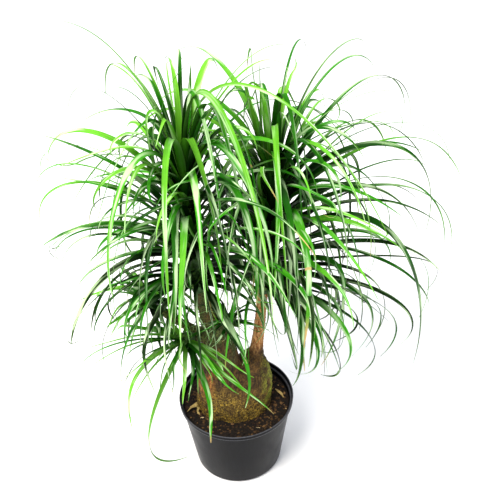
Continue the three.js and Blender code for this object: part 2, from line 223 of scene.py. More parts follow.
# Matt white paper sweep: even, with the faintest mottling so that it isn't one flat tone.
def paperMaterial():
    material, add, place = newMaterial("white paper sweep")
    mottle = add("TexNoise", {"Vector": place, "Scale": 3.0})
    tone = add("Mix", {0: mottle, 6: "#f6f7f9", 7: "#fafafb"}, data_type="RGBA")
    return withSurface(material, {"Base Color": tone, "Roughness": 0.9, "Specular IOR Level": 0.2})


def setStudio():
    world = bpy.data.worlds.new("studio")
    world.use_nodes = True
    background = world.node_tree.nodes["Background"]
    setInputs(background, {"Color": studio["world"], "Strength": studio["worldStrength"]})
    scene.world = world
    scene.view_settings.view_transform = "Standard"
    for i, (place, aim, size, power, colour) in enumerate(studio["lamps"]):
        data = bpy.data.lights.new(f"softbox {i}", "AREA")
        data.shape, data.size, data.energy = "DISK", size, power
        data.color = linearColour(colour)[:3]
        lamp = newObject(f"softbox {i}", data)
        lamp.location = place
        lamp.rotation_euler = (Vector(aim) - Vector(place)).to_track_quat("-Z", "Y").to_euler()
    half = studio["floor"]
    corners = [(-half, -half, 0), (half, -half, 0), (half, half, 0), (-half, half, 0)]
    floor = newObject("floor", newMesh("floor", corners, [(0, 1, 2, 3)]))
    floor.data.materials.append(paperMaterial())


setCamera()
setStudio()
print("camera, light and floor set")


# Leaves: how they stand and hang, by the same rule as the solid heads; sizes in mm and degrees

leafRule = {
    "legShares": (0.4, 0.33, 0.27), "topShare": 0.97, "liftEase": 0.85, "lengthEase": 0.6, "frontFade": 0.6,
    "goldenAngle": 137.508,
    "clearance": 1.2,
    "frontLift": 12, "frontShort": 0.28, "deepestFall": -108,
    "stemStraight": 8, "seatGap": 0.3,
    "turnStray": 16, "liftStray": 7, "crestStray": 0.4, "fallStray": 0.6,
    "lengthStray": 0.16, "sway": 9, "twist": 26,
}

# Open ground between two heads: a point on each plane and the way that it faces
betweenCrowns = ((6, 5, 0), (0.77, 0.64, 0))
underLeftCrown = ((0, 0, 351), (0, 0, 1))
besideSideBranch = ((-62, -9, 0), (-0.37, -0.93, 0))
pastSideBranch = ((-121, 21.5, 323), (-0.87, 0.33, 0.47))
pastInnerStub = ((-13, -26, 329), (0.7, -0.6, 0.4))
overLowShoot = ((-42, -22, 309), (0.6, 0, 0.8))

crownHabit = {
    "lift": (10, 86), "crestDrop": (72, 58), "fallDrop": (56, 84), "width": (10, 16), "stray": 45,
    "openFront": 0.8,
}
heads = {
    "crown_left": {
        **crownHabit, "count": 56, "seed": 3505, "start": 200, "length": (240, 320),
        "seat": ((-38, -10, 345), (-46, -10, 384)), "seatRadius": 11.5,
        "stem": ((-50, -10, 420), (-53, -11, 470), (-56, -12, 525), (-57, -12, 556)),
        "radii": (12.5, 12.5, 10.5, 7, 3),
        "keepTo": ((betweenCrowns, -1), (underLeftCrown, 1)),
    },
    "crown_right": {
        **crownHabit, "count": 67, "seed": 4689, "start": 40, "length": (320, 415),
        "seat": ((46, 17, 312), (50, 20, 348)), "seatRadius": 8.8,
        "stem": ((54, 21, 385), (59, 22, 430), (65, 23, 475), (70, 23, 510), (72, 23, 532)),
        "radii": (11, 12.5, 12, 10, 7, 3),
        "keepTo": ((betweenCrowns, 1),),
    },
    "shoot_low": {
        "count": 13, "seed": 907, "start": 150, "length": (130, 230), "width": (7, 10), "young": 0.38,
        "lift": (-30, 35), "crestDrop": (30, 30), "fallDrop": (40, 50), "stray": 12,
        "seat": ((-50, -15, 288), (-62, -20, 292)), "seatRadius": 7.5,
        "stem": ((-72, -27, 295), (-78, -33, 297)), "radii": (8.5, 8, 4),
        "keepTo": ((underLeftCrown, -1), (besideSideBranch, 1), (overLowShoot, -1)),
    },
    "shoot_side": {
        "count": 11, "seed": 613, "start": 170, "length": (110, 190), "width": (6, 9), "young": 0.12,
        "lift": (-25, 50), "crestDrop": (30, 30), "fallDrop": (40, 50), "stray": 12,
        "seat": ((-92, 10, 306), (-120, 21, 322)), "seatRadius": 6.5,
        "stem": ((-130, 25, 329), (-137, 28, 334)), "radii": (7.5, 7, 4),
        "keepTo": ((underLeftCrown, -1), (besideSideBranch, -1), (pastSideBranch, 1)),
    },
    "shoot_inner": {
        "count": 9, "seed": 271, "start": -60, "length": (50, 95), "width": (5, 8),
        "lift": (-15, 45), "crestDrop": (25, 30), "fallDrop": (30, 40), "stray": 8,
        "seat": ((-20, -20, 325), (-13, -26, 329)), "seatRadius": 5,
        "stem": ((-7, -30, 332), (-2, -33, 334)), "radii": (6, 5.5, 3),
        "keepTo": ((underLeftCrown, -1), (overLowShoot, 1), (betweenCrowns, -1), (pastInnerStub, 1)),
    },
}

# Leaves placed one by one: height on the stem, turn, lift, crest, fall, length, width and any sway
chosenLeaves = {
    "crown_left": [
        (0.9, 171, 86, 70, 8, 372, 13), (0.88, 150, 90, 38, -90, 455, 13), (0.55, 175, 66, 40, 2, 292, 12),
        (0.75, 170, 68, 18, -82, 385, 14), (0.45, 180, 62, 36, 0, 260, 12), (0.95, 62, 88, 80, 50, 210, 18),
        (0.35, 205, 40, -70, -75, 420, 14), (0.5, 186, 38, 5, -50, 270, 13),
        (0.95, -40, 89, -62, -92, 1000, 13), (0.8, -35, 88, -45, -96, 650, 16),
        (0.75, 215, 84, -52, -98, 640, 14), (0.9, 185, 88, -66, -80, 760, 11),
        (0.85, -100, 88, -46, -93, 715, 13), (0.5, -95, 74, -64, -94, 500, 15),
        (0.6, -60, 84, -60, -97, 640, 14), (0.4, -130, 70, -64, -94, 480, 14),
    ],
    "crown_right": [
        (0.45, 118, 86, 86, 84, 320, 17), (0.92, 40, 80, 2, -70, 330, 11), (0.85, 30, 64, 20, -86, 450, 13),
        (0.82, 5, 54, -42, -106, 570, 17), (0.75, 20, 40, -10, -72, 445, 14),
        (0.55, 0, 36, -12, -60, 350, 13), (0.65, 10, 27, -24, -95, 450, 14),
        (0.45, -15, 44, -78, -95, 690, 17), (0.2, -20, 40, -94, -115, 520, 12),
        (0.45, -70, 80, -66, -90, 460, 18), (0.1, -60, 60, -86, -88, 450, 14),
        (0.95, -60, 90, -74, -92, 980, 14), (0.85, -45, 86, -48, -97, 640, 13),
        (0.6, -50, 80, -56, -95, 560, 15), (0.6, -80, 82, -62, -95, 600, 17),
        (0.35, -75, 66, -66, -93, 480, 14), (0.75, -100, 86, -60, -96, 640, 14),
        (0.5, -28, 70, -58, -94, 520, 14),
    ],
    "shoot_low": [
        (0.5, 190, 32, -12, -36, 195, 9), (0.5, 225, -40, -86, -165, 385, 12),
        (0.5, 205, 0, -82, -98, 260, 9), (0.5, 262, -30, -70, -90, 115, 9),
        (0.6, 295, -20, -72, -102, 205, 12), (0.6, 312, -5, -22, -25, 190, 10, 16),
    ],
}

# Leaves beyond those of the solid heads: upright ones, long ones that fold over and hang, and arcs that
# cross the crowns. A ninth value is where along the leaf it is creased and scarred.
drapedLeaves = {
    "crown_left": [
        (0.95, -40, 89, -76, -92, 1000, 11), (0.95, -25, 82, -78, -108, 960, 17, -35),
        (0.95, -20, 74, -80, -102, 800, 19, 0, 0.58), (0.98, -5, 90, -42, -70, 860, 8),
        (0.8, 222, 72, -76, -98, 660, 17), (0.6, -30, 76, -66, -106, 640, 17, -15),
        (0.75, 190, 58, 110, -100, 370, 12), (0.8, 185, 62, 108, -100, 350, 12),
        (0.55, -110, 76, -72, -90, 520, 17, 12), (0.97, 50, 88, 50, -90, 385, 16),
        (0.92, 180, 66, 100, 158, 300, 8), (0.97, 172, 88, 40, -86, 390, 6), (0.97, 8, 85, 30, -88, 480, 6),
        (0.45, -125, 66, -72, -94, 460, 15, -14), (0.35, -150, 50, -76, -118, 440, 8),
        (0.45, -95, 66, -76, -90, 420, 11), (0.35, -80, 60, -76, -92, 420, 7),
        (0.35, -50, 60, -78, -98, 400, 8), (0.85, -60, 89, -66, -97, 700, 17),
        (0.7, -75, 86, -55, -95, 560, 15), (0.3, -70, 62, -70, -92, 420, 10),
        (0.2, -110, 50, -72, -90, 360, 10), (0.15, -40, 44, -74, -90, 350, 10),
        (0.25, -160, 40, -60, -95, 380, 8), (0.5, 220, 74, -50, -97, 520, 10),
        (0.35, 245, 66, -66, -94, 430, 10), (0.15, 200, 30, -50, -90, 320, 8),
        (0.1, -90, 40, -76, -92, 300, 8), (0.95, 150, 86, 74, -60, 330, 13),
        (0.95, 120, 88, 66, -80, 360, 12), (0.96, 250, 88, 70, -50, 300, 14),
        (0.97, 100, 89, 80, -40, 330, 14), (0.93, 90, 86, 60, -86, 400, 11),
        (0.9, 320, 84, 60, -80, 360, 12), (0.92, 140, 86, 50, -80, 400, 10, -15),
        (0.88, 230, 82, 30, -90, 420, 11), (0.1, 220, 20, -70, -95, 330, 12),
        (0.12, 250, 30, -75, -92, 340, 13), (0.08, 190, 10, -60, -100, 300, 11, 10),
        (0.2, 235, 40, -70, -94, 380, 13), (0.05, -130, 20, -80, -92, 300, 12),
        (0.05, -60, 10, -80, -90, 300, 11), (0.85, 160, 78, 30, -85, 430, 5),
        (0.7, 185, 66, 10, -92, 430, 5, -10), (0.6, 170, 58, 0, -98, 440, 5, 12),
        (0.9, 140, 82, 40, -80, 420, 5), (0.5, 200, 50, -15, -105, 430, 5), (0.8, 100, 80, 30, -85, 420, 5),
        (0.92, 20, 84, 30, -80, 520, 6), (0.85, 40, 82, 20, -85, 480, 5, -12),
        (0.4, 178, 40, -25, -105, 500, 7), (0.3, 168, 34, -30, -100, 480, 6, -10),
        (0.5, 190, 46, -20, -105, 500, 7), (0.6, 175, 54, -15, -108, 500, 7, 8),
        (0.25, 205, 28, -45, -115, 420, 8, 6),
    ],
    "crown_right": [
        (0.9, 207, 82, -60, -98, 680, 17), (0.75, 215, 80, -24, -86, 560, 8),
        (0.6, 205, 56, -10, -62, 420, 10), (0.5, -65, 66, -78, -96, 580, 18, 0, 0.66),
        (0.4, -92, 74, -70, -100, 500, 14, -20), (0.35, -80, 50, -80, -92, 420, 14),
        (0.25, -55, 46, -72, -86, 380, 9), (0.95, -10, 85, -84, -92, 840, 10),
        (0.97, 150, 78, 92, -85, 420, 10), (0.9, 165, 74, 92, -88, 350, 13), (0.9, 12, 80, 30, -35, 340, 8),
        (0.45, -40, 64, -70, -96, 500, 10), (0.7, -140, 86, -50, -97, 620, 10),
        (0.55, -125, 78, -60, -95, 560, 10), (0.9, -85, 89, -68, -95, 760, 13),
        (0.8, -20, 82, -50, -96, 600, 10), (0.15, -120, 50, -74, -90, 340, 10),
        (0.3, -20, 56, -66, -100, 460, 10), (0.95, -70, 88, 72, -60, 300, 12),
        (0.95, 60, 86, 62, -80, 340, 11), (0.1, -50, 40, -80, -92, 360, 15),
        (0.12, -30, 26, -74, -120, 370, 14, 5), (0.2, -5, 22, -56, -130, 420, 12, 10),
        (0.05, -72, 30, -84, -92, 340, 14), (0.25, -38, 46, -80, -108, 420, 13),
        (0.15, -15, 20, -60, -135, 400, 11, 12), (0.3, 10, 34, -50, -125, 450, 11),
        (0.05, 20, 10, -60, -140, 370, 10, 20), (0.05, -25, 6, -45, -140, 370, 12, 8),
        (0.1, -8, 2, -35, -135, 390, 10), (0.15, -40, 14, -60, -140, 370, 14, 6),
        (0.08, 5, -6, -40, -145, 370, 10, 10), (0.2, -15, 12, -30, -130, 420, 10),
        (0.05, -50, 12, -75, -130, 320, 15, 10), (0.12, -60, 20, -80, -120, 320, 15, 12),
        (0.03, -35, -6, -60, -150, 320, 13), (0.03, 12, -14, -50, -150, 330, 11),
        (0.25, 0, 10, -10, -140, 460, 7, 5), (0.9, 35, 82, 20, -80, 480, 6),
        (0.8, 20, 72, 5, -88, 520, 6, 10), (0.85, 50, 78, 30, -85, 500, 5, -10),
        (0.7, 0, 66, 0, -95, 540, 6), (0.6, 25, 58, -5, -98, 520, 5, 12), (0.75, -15, 72, 0, -92, 480, 5),
        (0.5, 10, 48, -15, -105, 520, 5, 15), (0.9, 70, 84, 40, -80, 440, 6),
        (0.4, 20, 40, -25, -110, 500, 5), (0.3, -5, 34, -40, -115, 500, 5, 15),
    ],
    "shoot_low": [
        (0.5, 195, 24, -20, -70, 220, 7), (0.5, 180, 8, -40, -115, 190, 6),
        (0.4, 212, -8, -60, -125, 230, 7, 10), (0.6, 202, 28, 0, -85, 240, 5, -10),
    ],
}

# Fillers: rows of more leaves by the same rule, kept inside the box of the solid plant
skirt = dict(lift=(5, 84), crestDrop=(84, 74), fallDrop=(50, 80), width=(8, 13), deepestFall=-145)
cascade = dict(lift=(50, 88), crestDrop=(112, 140), fallDrop=(32, 34), width=(10, 15))
arching = dict(lift=(20, 86), crestDrop=(76, 112), fallDrop=(50, 60), width=(8, 14), deepestFall=-150)
tuft = dict(crestDrop=(40, 80), fallDrop=(40, 60), sway=30)
fillerRows = {
    "crown_left": [
        dict(skirt, count=20, seed=8191, start=15, length=(290, 440), sway=34),
        dict(cascade, count=13, seed=3989, start=50, length=(400, 660), sway=40),
        dict(arching, count=18, seed=1777, start=70, length=(340, 600), sway=52),
    ],
    "crown_right": [
        dict(skirt, count=22, seed=5077, start=95, length=(320, 470), sway=30),
        dict(cascade, count=13, seed=6011, start=10, length=(420, 680), sway=36),
        dict(arching, count=18, seed=2999, start=160, length=(360, 620), sway=48),
    ],
    "shoot_low": [
        dict(count=16, seed=431, start=10, lift=(-35, 50), crestDrop=(60, 90), fallDrop=(40, 60),
             length=(90, 210), width=(4, 8), sway=25),
    ],
    "shoot_side": [dict(tuft, count=34, seed=557, start=80, lift=(-35, 76), length=(90, 220), width=(5, 11))],
    "shoot_inner": [dict(tuft, count=20, seed=887, start=40, lift=(-25, 76), length=(50, 130), width=(3, 7))],
}


def seededDraws(seed):
    state = seed
    while True:
        state = (state * 48271) % 2147483647
        yield state / 2147483647


def blendPair(pair, share):
    return pair[0] + (pair[1] - pair[0]) * share


def slopeDirection(turn, slope):
    turn, slope = math.radians(turn), math.radians(slope)
    return np.array((math.cos(turn) * math.cos(slope), math.sin(turn) * math.cos(slope), math.sin(slope)))


def stemPoints(head):
    before, end = (np.array(p, float) for p in head["seat"])
    along = (end - before) / np.linalg.norm(end - before)
    foot, straight = end + leafRule["seatGap"] * along, end + leafRule["stemStraight"] * along
    return [foot, straight, *(np.array(p, float) for p in head["stem"])]


def pointAlong(path, share):
    place = 1 + min(share, 0.9999) * (len(path) - 2)
    i = int(place)
    return path[i] + (path[i + 1] - path[i]) * (place - i)


def ruleLeaves(head):
    draws = seededDraws(head["seed"])
    either = lambda: 2 * next(draws) - 1  # from -1 to 1
    leaves = []
    for i in range(head["count"]):
        age = (i + 0.5) / head["count"]
        turn = head["start"] + leafRule["goldenAngle"] * i + leafRule["turnStray"] * either()
        facing = -math.sin(math.radians(turn))
        leaning = leafRule["liftStray"] * either()
        leaning += leafRule["frontLift"] * facing * (1 - leafRule["frontFade"] * age)
        lift = blendPair(head["lift"], age ** leafRule["liftEase"]) + leaning
        crest = lift - blendPair(head["crestDrop"], age) * (1 + leafRule["crestStray"] * either())
        crest += leafRule["frontLift"] * facing
        drooping = blendPair(head["fallDrop"], age) * (1 + leafRule["fallStray"] * either())
        fall = max(head.get("deepestFall", leafRule["deepestFall"]), crest - drooping)
        length = blendPair(head["length"], age ** leafRule["lengthEase"])
        length *= 1 + leafRule["lengthStray"] * either()
        length *= 1 - leafRule["frontShort"] * max(0, facing)
        width = blendPair(head["width"], next(draws))
        sway, twist = head.get("sway", leafRule["sway"]) * either(), leafRule["twist"] * either()
        spare = head["stray"] * next(draws) ** 2
        if facing < head.get("openFront", 2):
            height = age * leafRule["topShare"]
            leaves.append(dict(height=height, turn=turn, lift=lift, crest=crest, fall=fall, length=length,
                               width=width, sway=sway, twist=twist, spare=spare))
    return leaves


def listedLeaves(rows):
    names = ("height", "turn", "lift", "crest", "fall", "length", "width", "sway", "crease")
    return [{"sway": 0, "twist": 0, "spare": 0, **dict(zip(names, row))} for row in rows]


def steerPoints(head, path, leaf):
    points = [pointAlong(path, leaf["height"])]
    for i, slope in enumerate((leaf["lift"], leaf["crest"], leaf["fall"])):
        way = slopeDirection(leaf["turn"] + leaf["sway"] * i, slope)
        points.append(points[i] + leaf["length"] * leafRule["legShares"][i] * way)
    for k in range(1, 4):
        for (point, normal), way in head["keepTo"]:
            facing = np.array(normal, float) * way
            facing /= np.linalg.norm(facing)
            clear = (points[k] - np.array(point, float)) @ facing
            short = leaf["width"] / 2 + leafRule["clearance"] + leaf["spare"] - clear
            if short > 0:
                points[k] = points[k] + short * facing
    return np.array(points)


def bezier(points, t):
    t = np.asarray(t, float)[:, None]
    u = 1 - t
    a, b, c, d = points
    place = u ** 3 * a + 3 * u * u * t * b + 3 * u * t * t * c + t ** 3 * d
    slope = u * u * (b - a) + 2 * u * t * (c - b) + t * t * (d - c)
    return place, slope / np.linalg.norm(slope, axis=1)[:, None]


# Where leaves may not go: past the box of the solid plant, into the pot, or into the woody base
keepOut = {
    "overBox": (12, 12, 8), "floor": 6,
    "pot": (98, 142),  # radius and height that stay clear
    "bulb": ((-4, 0, 66, 54), (27, 3, 37, 38)),  # centre and half widths of the bulb and of its right lobe
    "bulbTop": 225,
    "dome": ((50, 30, 480), (325, 190, 300)),  # centre and half widths of the whole leafy head
    "tested": (0.15, 1, 14), "shortenedTo": (1, 0.9, 0.8, 0.7, 0.6, 0.5),
}


def isClear(place, inDome):
    low, high = (np.array(corner) * 1000 for corner in cadBox)
    room = np.array(keepOut["overBox"])
    if (place < low - room).any() or (place > high + room).any():
        return False
    centre, half = (np.array(v) for v in keepOut["dome"])
    if inDome and (((place - centre) / half) ** 2).sum(1).max() > 1:
        return False
    radius, height = keepOut["pot"]
    if ((np.hypot(place[:, 0], place[:, 1]) < radius) & (place[:, 2] < height)).any():
        return False
    if (place[:, 2] < keepOut["floor"]).any():
        return False
    for x, y, halfX, halfY in keepOut["bulb"]:
        inside = ((place[:, 0] - x) / halfX) ** 2 + ((place[:, 1] - y) / halfY) ** 2 < 1
        if (inside & (place[:, 2] < keepOut["bulbTop"])).any():
            return False
    return True


blade = {
    "stations": 34,
    # share of the leaves with a curled end, where it starts, degrees at the tip, and how low a tip may be
    "curlShare": 0.35, "curlFrom": 0.72, "curlTurn": 230, "curlTaper": 0.95, "curlsAbove": 110,
    "curlUpShare": 0.15,  # share of those that curl up instead of down
    "footShare": 0.8, "fill": 0.12, "taper": 0.75, "hangingTaper": 0.6, "hanging": (-28, -118),
    "thread": 0.35,  # half width in mm to which a tip is drawn out
    "waver": 8.0,  # how far a blade wanders from its line near the tip, in mm
    "waves": ((5, 1), (7, 0.6)),  # how quick and how large that is across the blade, and square to it
    "spiral": 60,  # how far a blade turns about its own line up to the tip, in degrees
    "sweep": 0.13,  # how far a tip swings sideways, as a share of the length
    "channel": 0.32,  # depth of the channel, as a share of the half width
    "thickness": 0.06,
    # share of the leaves with a dry tip, where it starts, and a start that no leaf reaches
    "dryShare": 0.16, "dryFrom": 0.94, "never": 1.2,
    "darkTone": -0.12, "toneRise": 0.48, "toneStray": 1.05,  # from the old leaves up to the young ones
}


# Rolls up the end of a leaf's line, the tighter the nearer to the tip.
def curled(place, upper, across, t, turn, lean):
    made = place.copy()
    first = int(np.argmax(t > blade["curlFrom"]))
    ahead = place[first] - place[first - 1]
    step = np.linalg.norm(ahead)
    ahead /= step
    side = upper[first] * (1 if lean > 1 - blade["curlUpShare"] else -1) + across[first] * (lean - 0.5)
    side -= ahead * (side @ ahead)
    side /= np.linalg.norm(side)
    for i in range(first, len(t)):
        share = (t[i] - blade["curlFrom"]) / (1 - blade["curlFrom"])
        angle = math.radians(turn) * share ** 1.4
        made[i] = made[i - 1] + step * (ahead * math.cos(angle) + side * math.sin(angle))
    return made


def unit(rows):
    return rows / np.linalg.norm(rows, axis=1)[:, None]


# The way across a blade, square to its line.
def squareTo(place, across):
    along = unit(np.gradient(place, axis=0))
    return unit(across - along * (across * along).sum(1)[:, None])


# A leaf's line, the way across it and half width at each station, and its colour values.
def bladeLine(curve, leaf, head, draws):
    t = np.linspace(0, 1, blade["stations"])
    place, along = bezier(curve, t)
    turn = np.radians(leaf["turn"] + leaf["sway"] * 1.5 * t)
    level = np.stack((-np.sin(turn), np.cos(turn), 0 * t), 1)
    across = unit(level - along * (level * along).sum(1)[:, None])
    upper = np.cross(along, across)
    phase, size = 6.3 * next(draws), blade["waver"] * (0.4 + next(draws))
    twist = np.radians((leaf["twist"] + blade["spiral"] * math.sin(3 * phase)) * t)[:, None]
    wide = across * np.cos(twist) + upper * np.sin(twist)
    for way, start, (wave, share) in zip((across, upper), (phase, 2 * phase), blade["waves"]):
        place = place + (np.sin(start + wave * t) * share * size * t ** 1.5)[:, None] * way
    swing = leaf["twist"] / leafRule["twist"] * blade["sweep"] * leaf["length"]
    place = place + (swing * t ** 2)[:, None] * across
    fill = np.minimum(1, blade["footShare"] + (1 - blade["footShare"]) * t / blade["fill"])
    hangs = leaf["crest"] < blade["hanging"][0] and leaf["fall"] > blade["hanging"][1]
    taper = blade["hangingTaper" if hangs else "taper"]
    if leaf.get("curls") and next(draws) < blade["curlShare"]:
        place = curled(place, upper, across, t, blade["curlTurn"] * (0.4 + 0.7 * next(draws)), next(draws))
        taper = blade["curlTaper"]
    half = np.maximum(blade["thread"], 0.5 * leaf["width"] * fill * (1 - t) ** taper)
    tone = blade["darkTone"] + blade["toneRise"] * leaf["height"]
    tone += blade["toneStray"] * (0.6 + 0.4 * leaf["height"]) * next(draws) ** 1.4
    tone += head.get("young", 0)
    dry = blade["never"] if next(draws) > blade["dryShare"] else blade["dryFrom"] - 0.1 * next(draws)
    return place, squareTo(place, wide), half, t, tone, dry, leaf.get("crease", 2)


# An object that holds the lines, with their values at each vertex.
def pathMesh(name, lines):
    vertices, edges = [], []
    values = {key: [] for key in ("wideWay", "halfWidth", "along", "tone", "dryFrom", "crease")}
    for place, wide, half, t, tone, dry, crease in lines:
        first = sum(len(v) for v in vertices)
        edges += [(first + i, first + i + 1) for i in range(len(place) - 1)]
        vertices.append(place)
        for key, value in zip(values, (wide, half / 1000, t, tone + 0 * t, dry + 0 * t, crease + 0 * t)):
            values[key].append(value)
    mesh = newMesh(name, np.concatenate(vertices), edges=edges)
    for key, value in values.items():
        setAttribute(mesh, key, "FLOAT_VECTOR" if key == "wideWay" else "FLOAT", np.concatenate(value))
    return newObject(name, mesh)


# Sweeps a channelled strap along each path: flat lens in section, folded down to its midrib.
def bladeTree(material):
    tree, add, given = treeWith("strap leaves", Channel="Float", Thickness="Float")
    x, y = add("ShaderNodeSeparateXYZ", [add("GeometryNodeInputPosition")]).outputs[:2]
    fromMiddle = add("ShaderNodeMath", [x], operation="ABSOLUTE")
    inward = add("ShaderNodeMath", [1.0, fromMiddle], operation="SUBTRACT")
    sunk = add("ShaderNodeMath", [inward, given["Channel"]], operation="MULTIPLY")
    lens = add("ShaderNodeMath", [y, given["Thickness"]], operation="MULTIPLY")
    section = add("ShaderNodeCombineXYZ", [x, add("ShaderNodeMath", [lens, sunk], operation="SUBTRACT")])
    profile = add("GeometryNodeCurvePrimitiveCircle", {"Resolution": 8, "Radius": 1.0})
    for name, value in (("across", x), ("side", y)):
        profile = add("GeometryNodeStoreNamedAttribute", {"Geometry": profile, "Name": name, "Value": value},
                      data_type="FLOAT", domain="POINT")
    profile = add("GeometryNodeSetPosition", {"Geometry": profile, "Position": section})
    curves = add("GeometryNodeMeshToCurve", {"Mesh": given["Carrier"]})
    wide = add("GeometryNodeInputNamedAttribute", {"Name": "wideWay"}, data_type="FLOAT_VECTOR")
    turned = add("GeometryNodeSetCurveNormal", {"Curve": curves, "Normal": wide}, mode="FREE")
    half = add("GeometryNodeInputNamedAttribute", {"Name": "halfWidth"}, data_type="FLOAT")
    swept = add("GeometryNodeCurveToMesh", {
        "Curve": turned, "Profile Curve": profile, "Scale": half, "Fill Caps": True,
    })
    return endTree(tree, swept, material)


leafLook = {
    "greens": ((0, "#042400"), (0.32, "#155605"), (0.66, "#328a10"), (1, "#68b02e")),
    # The first colour here is the painted sheen of the pale patches.
    "paintedSheen": "#c8e6b0", "foot": "#5f8434", "tip": "#86bb35", "dry": "#b39a62",
    # The under side and inside colours darken the blade as painted shade.
    "paintedUnderShadeTint": "#8fb070", "inside": "#205018", "sheen": "#e4ffb8",
    "blotches": 22.0, "veins": 9.0, "sheenPatches": 1.6,  # how fine: the first per metre, the others per blade
}


# Leaf tissue: tough, waxy strap leaf. Parallel veins catch the light as fine pale lines, the foot is pale and
# old tips dry to straw. Pale patches on the outer blade are a painted sheen, and the under side and the blade
# toward its foot are darkened with painted shade.
def leafMaterial():
    material, add, place, tone, along, across, side, dryFrom, crease = newMaterial(
        "waxy strap leaf", "tone", "along", "across", "side", "dryFrom", "crease")
    blotch = add("TexNoise", {"Vector": place, "Scale": leafLook["blotches"], "Detail": 3.0})
    bladePlace = add("CombineXYZ", [across, along, tone])
    veinPlace = add("Mapping", {"Vector": bladePlace, "Scale": (1.0, 0.35, 40.0)})
    vein = add("TexNoise", {"Vector": veinPlace, "Scale": leafLook["veins"], "Detail": 2.0})
    # Painted sheen: a noise of pale patches along each blade, kept to its outer part below.
    paintedSheenPlace = add("Mapping", {"Vector": bladePlace, "Scale": (0.5, 3.0, 60.0)})
    paintedSheen = add("TexNoise", {"Vector": paintedSheenPlace, "Scale": leafLook["sheenPatches"], "Detail": 1.0})
    darkest = add("Math", [tone, 0.35], operation="SUBTRACT")
    shade = add("Math", [blotch, 0.7, darkest], operation="MULTIPLY_ADD")
    colour = add("ValToRGB", [shade], stops=leafLook["greens"])
    veins = add("MapRange", [vein, 0.35, 0.65, 0.6, 1.25])
    sheenPatches = add("MapRange", [paintedSheen, 0.5, 0.65, 0.0, 0.75])
    outer = add("MapRange", [along, 0.16, 0.55, 0.2, 1.0])
    sheenPainted = add("Math", [sheenPatches, outer], operation="MULTIPLY")
    paleFoot = add("MapRange", [along, 0.0, 0.1, 0.4, 0.0])
    yellowTip = add("MapRange", [along, 0.8, 1.0, 0.0, 0.16])
    pastDry = add("Math", [along, dryFrom], operation="SUBTRACT")
    dryTip = add("Math", [pastDry, 14.0], operation="MULTIPLY", use_clamp=True)
    offCrease = add("Math", [along, crease], operation="SUBTRACT")
    fromCrease = add("Math", [offCrease], operation="ABSOLUTE")
    scar = add("MapRange", [fromCrease, 0.004, 0.008, 1.0, 0.0])
    dry = add("Math", [dryTip, scar], operation="MAXIMUM")
    # Painted shade: the under side of each blade is darkened.
    paintedUnderShade = add("MapRange", [side, -0.1, 0.1, 0.7, 0.0])
    # Painted shade: the blade darkens toward its foot, inside the crown, less so on bright leaves.
    inner = add("MapRange", [along, 0.16, 0.55, 1.0, 0.0])
    hidden = add("Math", [tone, -0.34, 1.05], operation="MULTIPLY_ADD")
    paintedDepthShade = add("Math", [inner, hidden], operation="MULTIPLY", use_clamp=True)
    for share, tint, blend in (
        (0.55, veins, "MULTIPLY"), (sheenPainted, leafLook["paintedSheen"], "MIX"), (paleFoot, leafLook["foot"], "MIX"),
        (yellowTip, leafLook["tip"], "MIX"), (dry, leafLook["dry"], "MIX"),
        (paintedUnderShade, leafLook["paintedUnderShadeTint"], "MULTIPLY"), (paintedDepthShade, leafLook["inside"], "MULTIPLY"),
    ):
        colour = add("Mix", {0: share, 6: colour, 7: tint}, data_type="RGBA", blend_type=blend)
    return withSurface(material, {
        "Base Color": colour, "Roughness": add("MapRange", [blotch, 0.3, 0.7, 0.34, 0.5]),
        "Normal": add("Bump", {"Strength": 0.3, "Distance": 0.0004, "Height": vein}),
        "Specular IOR Level": 0.1, "Specular Tint": leafLook["sheen"],
        "Coat Weight": 0.06, "Coat Roughness": 0.28,
    })


leafTree = bladeTree(leafMaterial())


# Shortens a leaf beyond the solid head's own until it hangs clear; gives up on one that can't.
def fitted(head, path, leaf, inDome):
    for share in keepOut["shortenedTo"]:
        tried = dict(leaf, length=leaf["length"] * share)
        curve = steerPoints(head, path, tried)
        if isClear(bezier(curve, np.linspace(*keepOut["tested"]))[0], inDome):
            return curve, tried
    return None


def leafLines(name):
    head = heads[name]
    path = stemPoints(head)
    draws, hangingDraws = seededDraws(head["seed"] + 17), seededDraws(head["seed"] + 29)
    lines = []
    for leaf in listedLeaves(chosenLeaves.get(name, [])) + ruleLeaves(head):
        lines.append(bladeLine(steerPoints(head, path, leaf), leaf, head, draws))
    free = dict(head, keepTo=())
    more = [(leaf, False) for leaf in listedLeaves(drapedLeaves.get(name, []))]
    for row in fillerRows.get(name, []):
        more += [(leaf, True) for leaf in ruleLeaves({**free, **row, "stray": 0, "openFront": 2})]
    for leaf, inDome in more:
        found = fitted(free, path, leaf, inDome)
        if found:
            curve, leaf = found
            leaf["curls"] = name.startswith("crown") and curve[3][2] > blade["curlsAbove"]
            lines.append(bladeLine(curve, leaf, head, draws if inDome else hangingDraws))
    return lines


bladeInputs = {"Channel": blade["channel"], "Thickness": blade["thickness"]}
for name in heads:
    lines = leafLines(name)
    piece = grown(name + "_leaves", pathMesh(name + "_paths", lines), leafTree, bladeInputs, 50)
    finished(piece, "leaf", name)
    print(name, len(lines), "leaves,", len(piece.data.polygons), "faces")


# Dry scraps of old leaf that lie on the potting mix

scraps = {
    "lines": [
        [(-82, -22, 126), (-76, -18, 131), (-70, -12, 129), (-63, -9, 131), (-57, -10, 133), (-52, -8, 129)],
        [(-66, -14, 128), (-63, -20, 131), (-65, -26, 129), (-61, -31, 127)],
        [(66, 22, 127), (70, 14, 130), (76, 8, 129), (79, 2, 126)],
    ],
    "width": (5.5, 3.5, 3.0), "steps": 5, "roll": 2.2,
}


